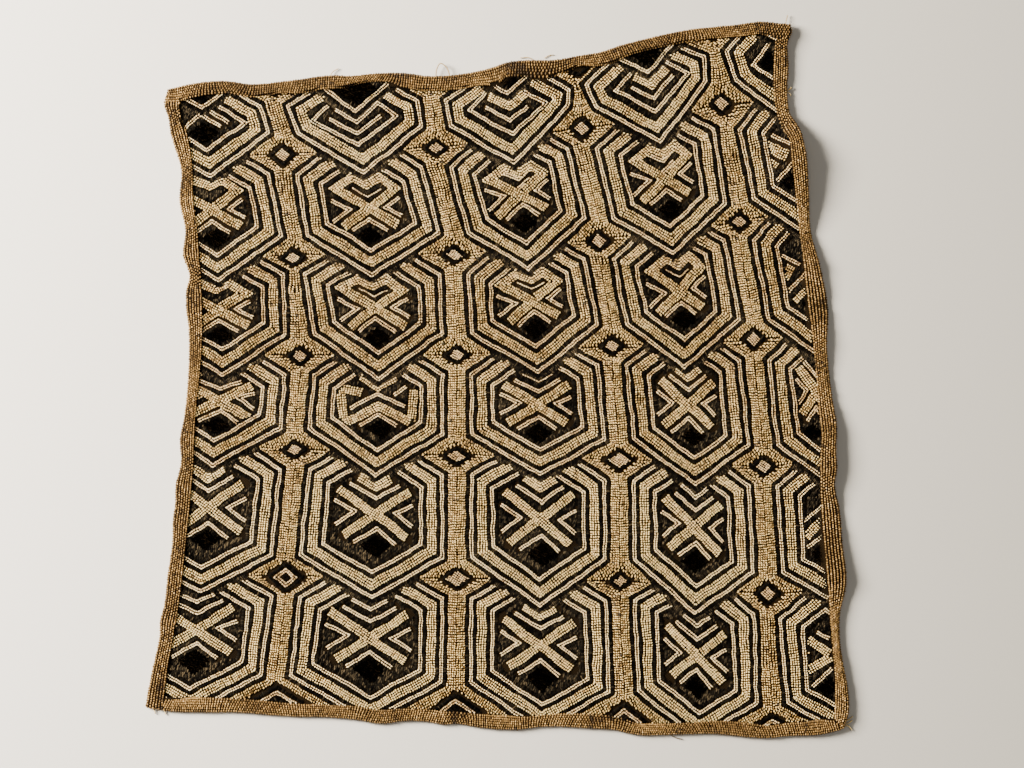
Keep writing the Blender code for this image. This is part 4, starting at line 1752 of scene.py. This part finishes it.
@dataclass(frozen=True)
class WeaveFinish:
    """Plain woven raffia: flat warp and weft strips over and under each other."""

    name: str
    dark: str
    light: str
    roughness: float
    gloss: float
    strip: float = 1.0

    def make(self) -> bpy.types.Material:
        """Make the material: a plain weave in colour and bump."""
        material = bpy.data.materials.new(self.name)
        material.use_nodes = True
        tree = material.node_tree
        shader = tree.nodes["Principled BSDF"]
        place = add_node(tree, "ShaderNodeTexCoord", {}, {})
        # Each strip is as wide as the spacing of the ground's threads.
        scale = 1.0 / (self.strip * MM)
        stretched = add_node(
            tree,
            "ShaderNodeMapping",
            {"Scale": (scale, scale, scale)},
            {"Vector": place.outputs["Object"]},
        )
        split = add_node(tree, "ShaderNodeSeparateXYZ", {}, {"Vector": stretched.outputs[0]})
        waves = []
        for axis in ("X", "Y"):
            turned = add_node(
                tree, "ShaderNodeMath", {"operation": "MULTIPLY", 1: math.pi}, {0: split.outputs[axis]}
            )
            waves.append(add_node(tree, "ShaderNodeMath", {"operation": "SINE"}, {0: turned.outputs[0]}))
        weave = add_node(
            tree,
            "ShaderNodeMath",
            {"operation": "MULTIPLY"},
            {0: waves[0].outputs[0], 1: waves[1].outputs[0]},
        )
        mottle = add_node(
            tree, "ShaderNodeTexNoise", {"Scale": 60.0, "Detail": 6.0}, {"Vector": place.outputs["Object"]}
        )
        total = add_node(
            tree,
            "ShaderNodeMath",
            {"operation": "MULTIPLY_ADD", 1: 0.3},
            {0: weave.outputs[0], 2: mottle.outputs["Fac"]},
        )
        ramp = add_node(tree, "ShaderNodeValToRGB", {}, {"Fac": total.outputs[0]})
        set_ramp(ramp, [(0.2, self.dark), (0.8, self.light)])
        tree.links.new(ramp.outputs["Color"], shader.inputs["Base Color"])
        shader.inputs["Roughness"].default_value = self.roughness
        shader.inputs["Specular IOR Level"].default_value = self.gloss
        bump = add_node(
            tree,
            "ShaderNodeBump",
            {"Strength": 0.6, "Distance": 0.0004},
            {"Height": weave.outputs[0]},
        )
        tree.links.new(bump.outputs["Normal"], shader.inputs["Normal"])
        return material


# Undyed raffia, sewn: pale gold with a satin shine along the fibre.
LIGHT_RAFFIA = RaffiaFinish(
    "undyed raffia embroidery",
    ((0.0, "2c1d09"), (0.3, "8a662c"), (0.6, "ecc57a"), (1.0, "fff4ba")),
    roughness=0.36,
    gloss=0.8,
)
# Undyed raffia of the narrow rows, drawn tight: paler and less yellow.
NARROW_RAFFIA = RaffiaFinish(
    "pale undyed raffia embroidery",
    ((0.0, "33210f"), (0.3, "936f3e"), (0.6, "e6c388"), (1.0, "fff2c4")),
    roughness=0.36,
    gloss=0.8,
)
# Undyed raffia between the shields, a little browner from wear.
OUTER_RAFFIA = RaffiaFinish(
    "worn undyed raffia embroidery",
    ((0.0, "261907"), (0.3, "7f5d25"), (0.6, "d9b066"), (1.0, "ffeaa8")),
    roughness=0.38,
    gloss=0.75,
)
# Raffia dyed black over brown, worn to brown in places.
BLACK_RAFFIA = RaffiaFinish(
    "black dyed raffia embroidery",
    ((0.0, "010101"), (0.3, "050403"), (0.56, "1e1a13"), (1.0, "5a4d39")),
    roughness=0.8,
    gloss=0.03,
)
# Cut pile of black dyed raffia: soft and without shine.
BLACK_PILE = RaffiaFinish(
    "black dyed raffia pile",
    ((0.0, "010101"), (0.9, "020202"), (1.0, "060606")),
    roughness=0.95,
    gloss=0.0,
)
# Undyed raffia of the ground, woven tight: tan, and brown where the ribs' painted shade darkens it between them.
HEM_RAFFIA = RaffiaFinish(
    "undyed raffia hem weave",
    ((0.0, "221505"), (0.3, "6d5024"), (0.6, "ae8950"), (1.0, "eac894")),
    roughness=0.55,
    gloss=0.3,
)
# The face of the ground, painted near black as the shade in the gaps between the stitches.
GROUND_FACE_PAINTED_SHADE = WeaveFinish("raffia ground under the stitches painted dark as shade", "0b0805", "21180c", 0.9, 0.02)
GROUND_BACK = WeaveFinish("undyed raffia plain weave", "7d5f36", "c7a570", 0.75, 0.3)


@dataclass
class Studio:
    """A pale floor painted darker to the right as the shade of the light's falloff, soft light from the left, and the
    camera over the cloth.
    """

    view_width: float = 0.8192
    lens: float = 90.0
    middle_right: float = 512.0
    middle_down: float = 384.0

    def camera(self) -> None:
        """Hang the camera straight over the middle of the photograph's frame."""
        data = bpy.data.cameras.new("camera")
        data.lens = self.lens
        data.sensor_width = 36.0
        data.clip_end = 50.0
        camera = bpy.data.objects.new("camera", data)
        bpy.context.scene.collection.objects.link(camera)
        place = to_cloth([Spot(self.middle_right, self.middle_down)])[0] * MM
        camera.location = (place[0], place[1], self.view_width * self.lens / data.sensor_width)
        bpy.context.scene.camera = camera

    def floor(self) -> None:
        """Lay a pale floor, painted darker towards the right as the shade of the light's falloff from the left."""
        bm = bmesh.new()
        bmesh.ops.create_grid(bm, x_segments=1, y_segments=1, size=6.0)
        mesh = bpy.data.meshes.new("floor")
        bm.to_mesh(mesh)
        bm.free()
        floor = bpy.data.objects.new("floor", mesh)
        bpy.context.scene.collection.objects.link(floor)
        material = bpy.data.materials.new("pale floor with painted falloff")
        material.use_nodes = True
        shader = material.node_tree.nodes["Principled BSDF"]
        place = add_node(material.node_tree, "ShaderNodeTexCoord", {}, {})
        split = add_node(
            material.node_tree, "ShaderNodeSeparateXYZ", {}, {"Vector": place.outputs["Object"]}
        )
        across = add_node(
            material.node_tree,
            "ShaderNodeMath",
            {"operation": "MULTIPLY_ADD", 1: 1.0, 2: 0.5},
            {0: split.outputs["X"]},
        )
        ramp = add_node(material.node_tree, "ShaderNodeValToRGB", {}, {"Fac": across.outputs[0]})
        # Painted shade: the floor's colour darkens from left to right.
        set_ramp(ramp, [(0.05, "e1ddd6"), (0.95, "b7b3aa")])
        material.node_tree.links.new(ramp.outputs["Color"], shader.inputs["Base Color"])
        shader.inputs["Roughness"].default_value = 0.9
        mesh.materials.append(material)

    def lamp(self, name: str, place: tuple[float, float, float], size: float, power: float, tint: str) -> None:
        """Hang a square soft light that faces the cloth."""
        data = bpy.data.lights.new(name, "AREA")
        data.size = size
        data.energy = power
        data.color = srgb(tint)[:3]
        lamp = bpy.data.objects.new(name, data)
        bpy.context.scene.collection.objects.link(lamp)
        lamp.location = place
        x, y, z = place
        lamp.rotation_euler = (math.atan2(math.hypot(x, y), z), 0.0, math.atan2(y, x) + math.pi / 2)

    def make(self) -> None:
        """Set up the floor, the lights and the camera."""
        self.camera()
        self.floor()
        self.lamp("key", (-2.0, 0.8, 1.12), 0.95, 440.0, "fff7ea")
        self.lamp("top fill", (0.3, 0.2, 3.0), 3.0, 19.0, "fffaf2")
        world = bpy.data.worlds.new("soft studio")
        world.use_nodes = True
        sky = world.node_tree.nodes["Background"]
        sky.inputs["Color"].default_value = srgb("f5f1ea")
        sky.inputs["Strength"].default_value = 0.19
        bpy.context.scene.world = world


def main() -> None:
    """Build the cloth and its studio."""
    Studio().make()
    lay = Lay()
    ground = GroundCloth(lay, GROUND_FACE_PAINTED_SHADE.make(), GROUND_BACK.make()).make()
    light = StitchBank("light_stitches", BEAD, LIGHT_RAFFIA.make())
    motif = StitchBank("motif_stitches", BEAD, light.material)
    outer = StitchBank("light_stitches_between", BEAD, OUTER_RAFFIA.make())
    narrow = StitchBank("narrow_stitches", BEAD, NARROW_RAFFIA.make())
    dark = StitchBank("black_stitches", TICK, BLACK_RAFFIA.make())
    fill = StitchBank("motif_black_stitches", TICK, dark.material)
    pile = StitchBank("black_pile", TUFT, BLACK_PILE.make())
    banks = (light, motif, narrow, outer, dark, fill, pile)
    Embroidery(Stitcher(lay, *banks)).make()
    pieces = [bank.make() for bank in banks]
    pieces.append(HemWeave(lay, StitchBank("hem_weave", RIB, HEM_RAFFIA.make())).make())
    pieces.append(LooseThreads(StitchBank("loose_threads", BEAD, light.material)).make())


if __name__ == "__main__":
    main()
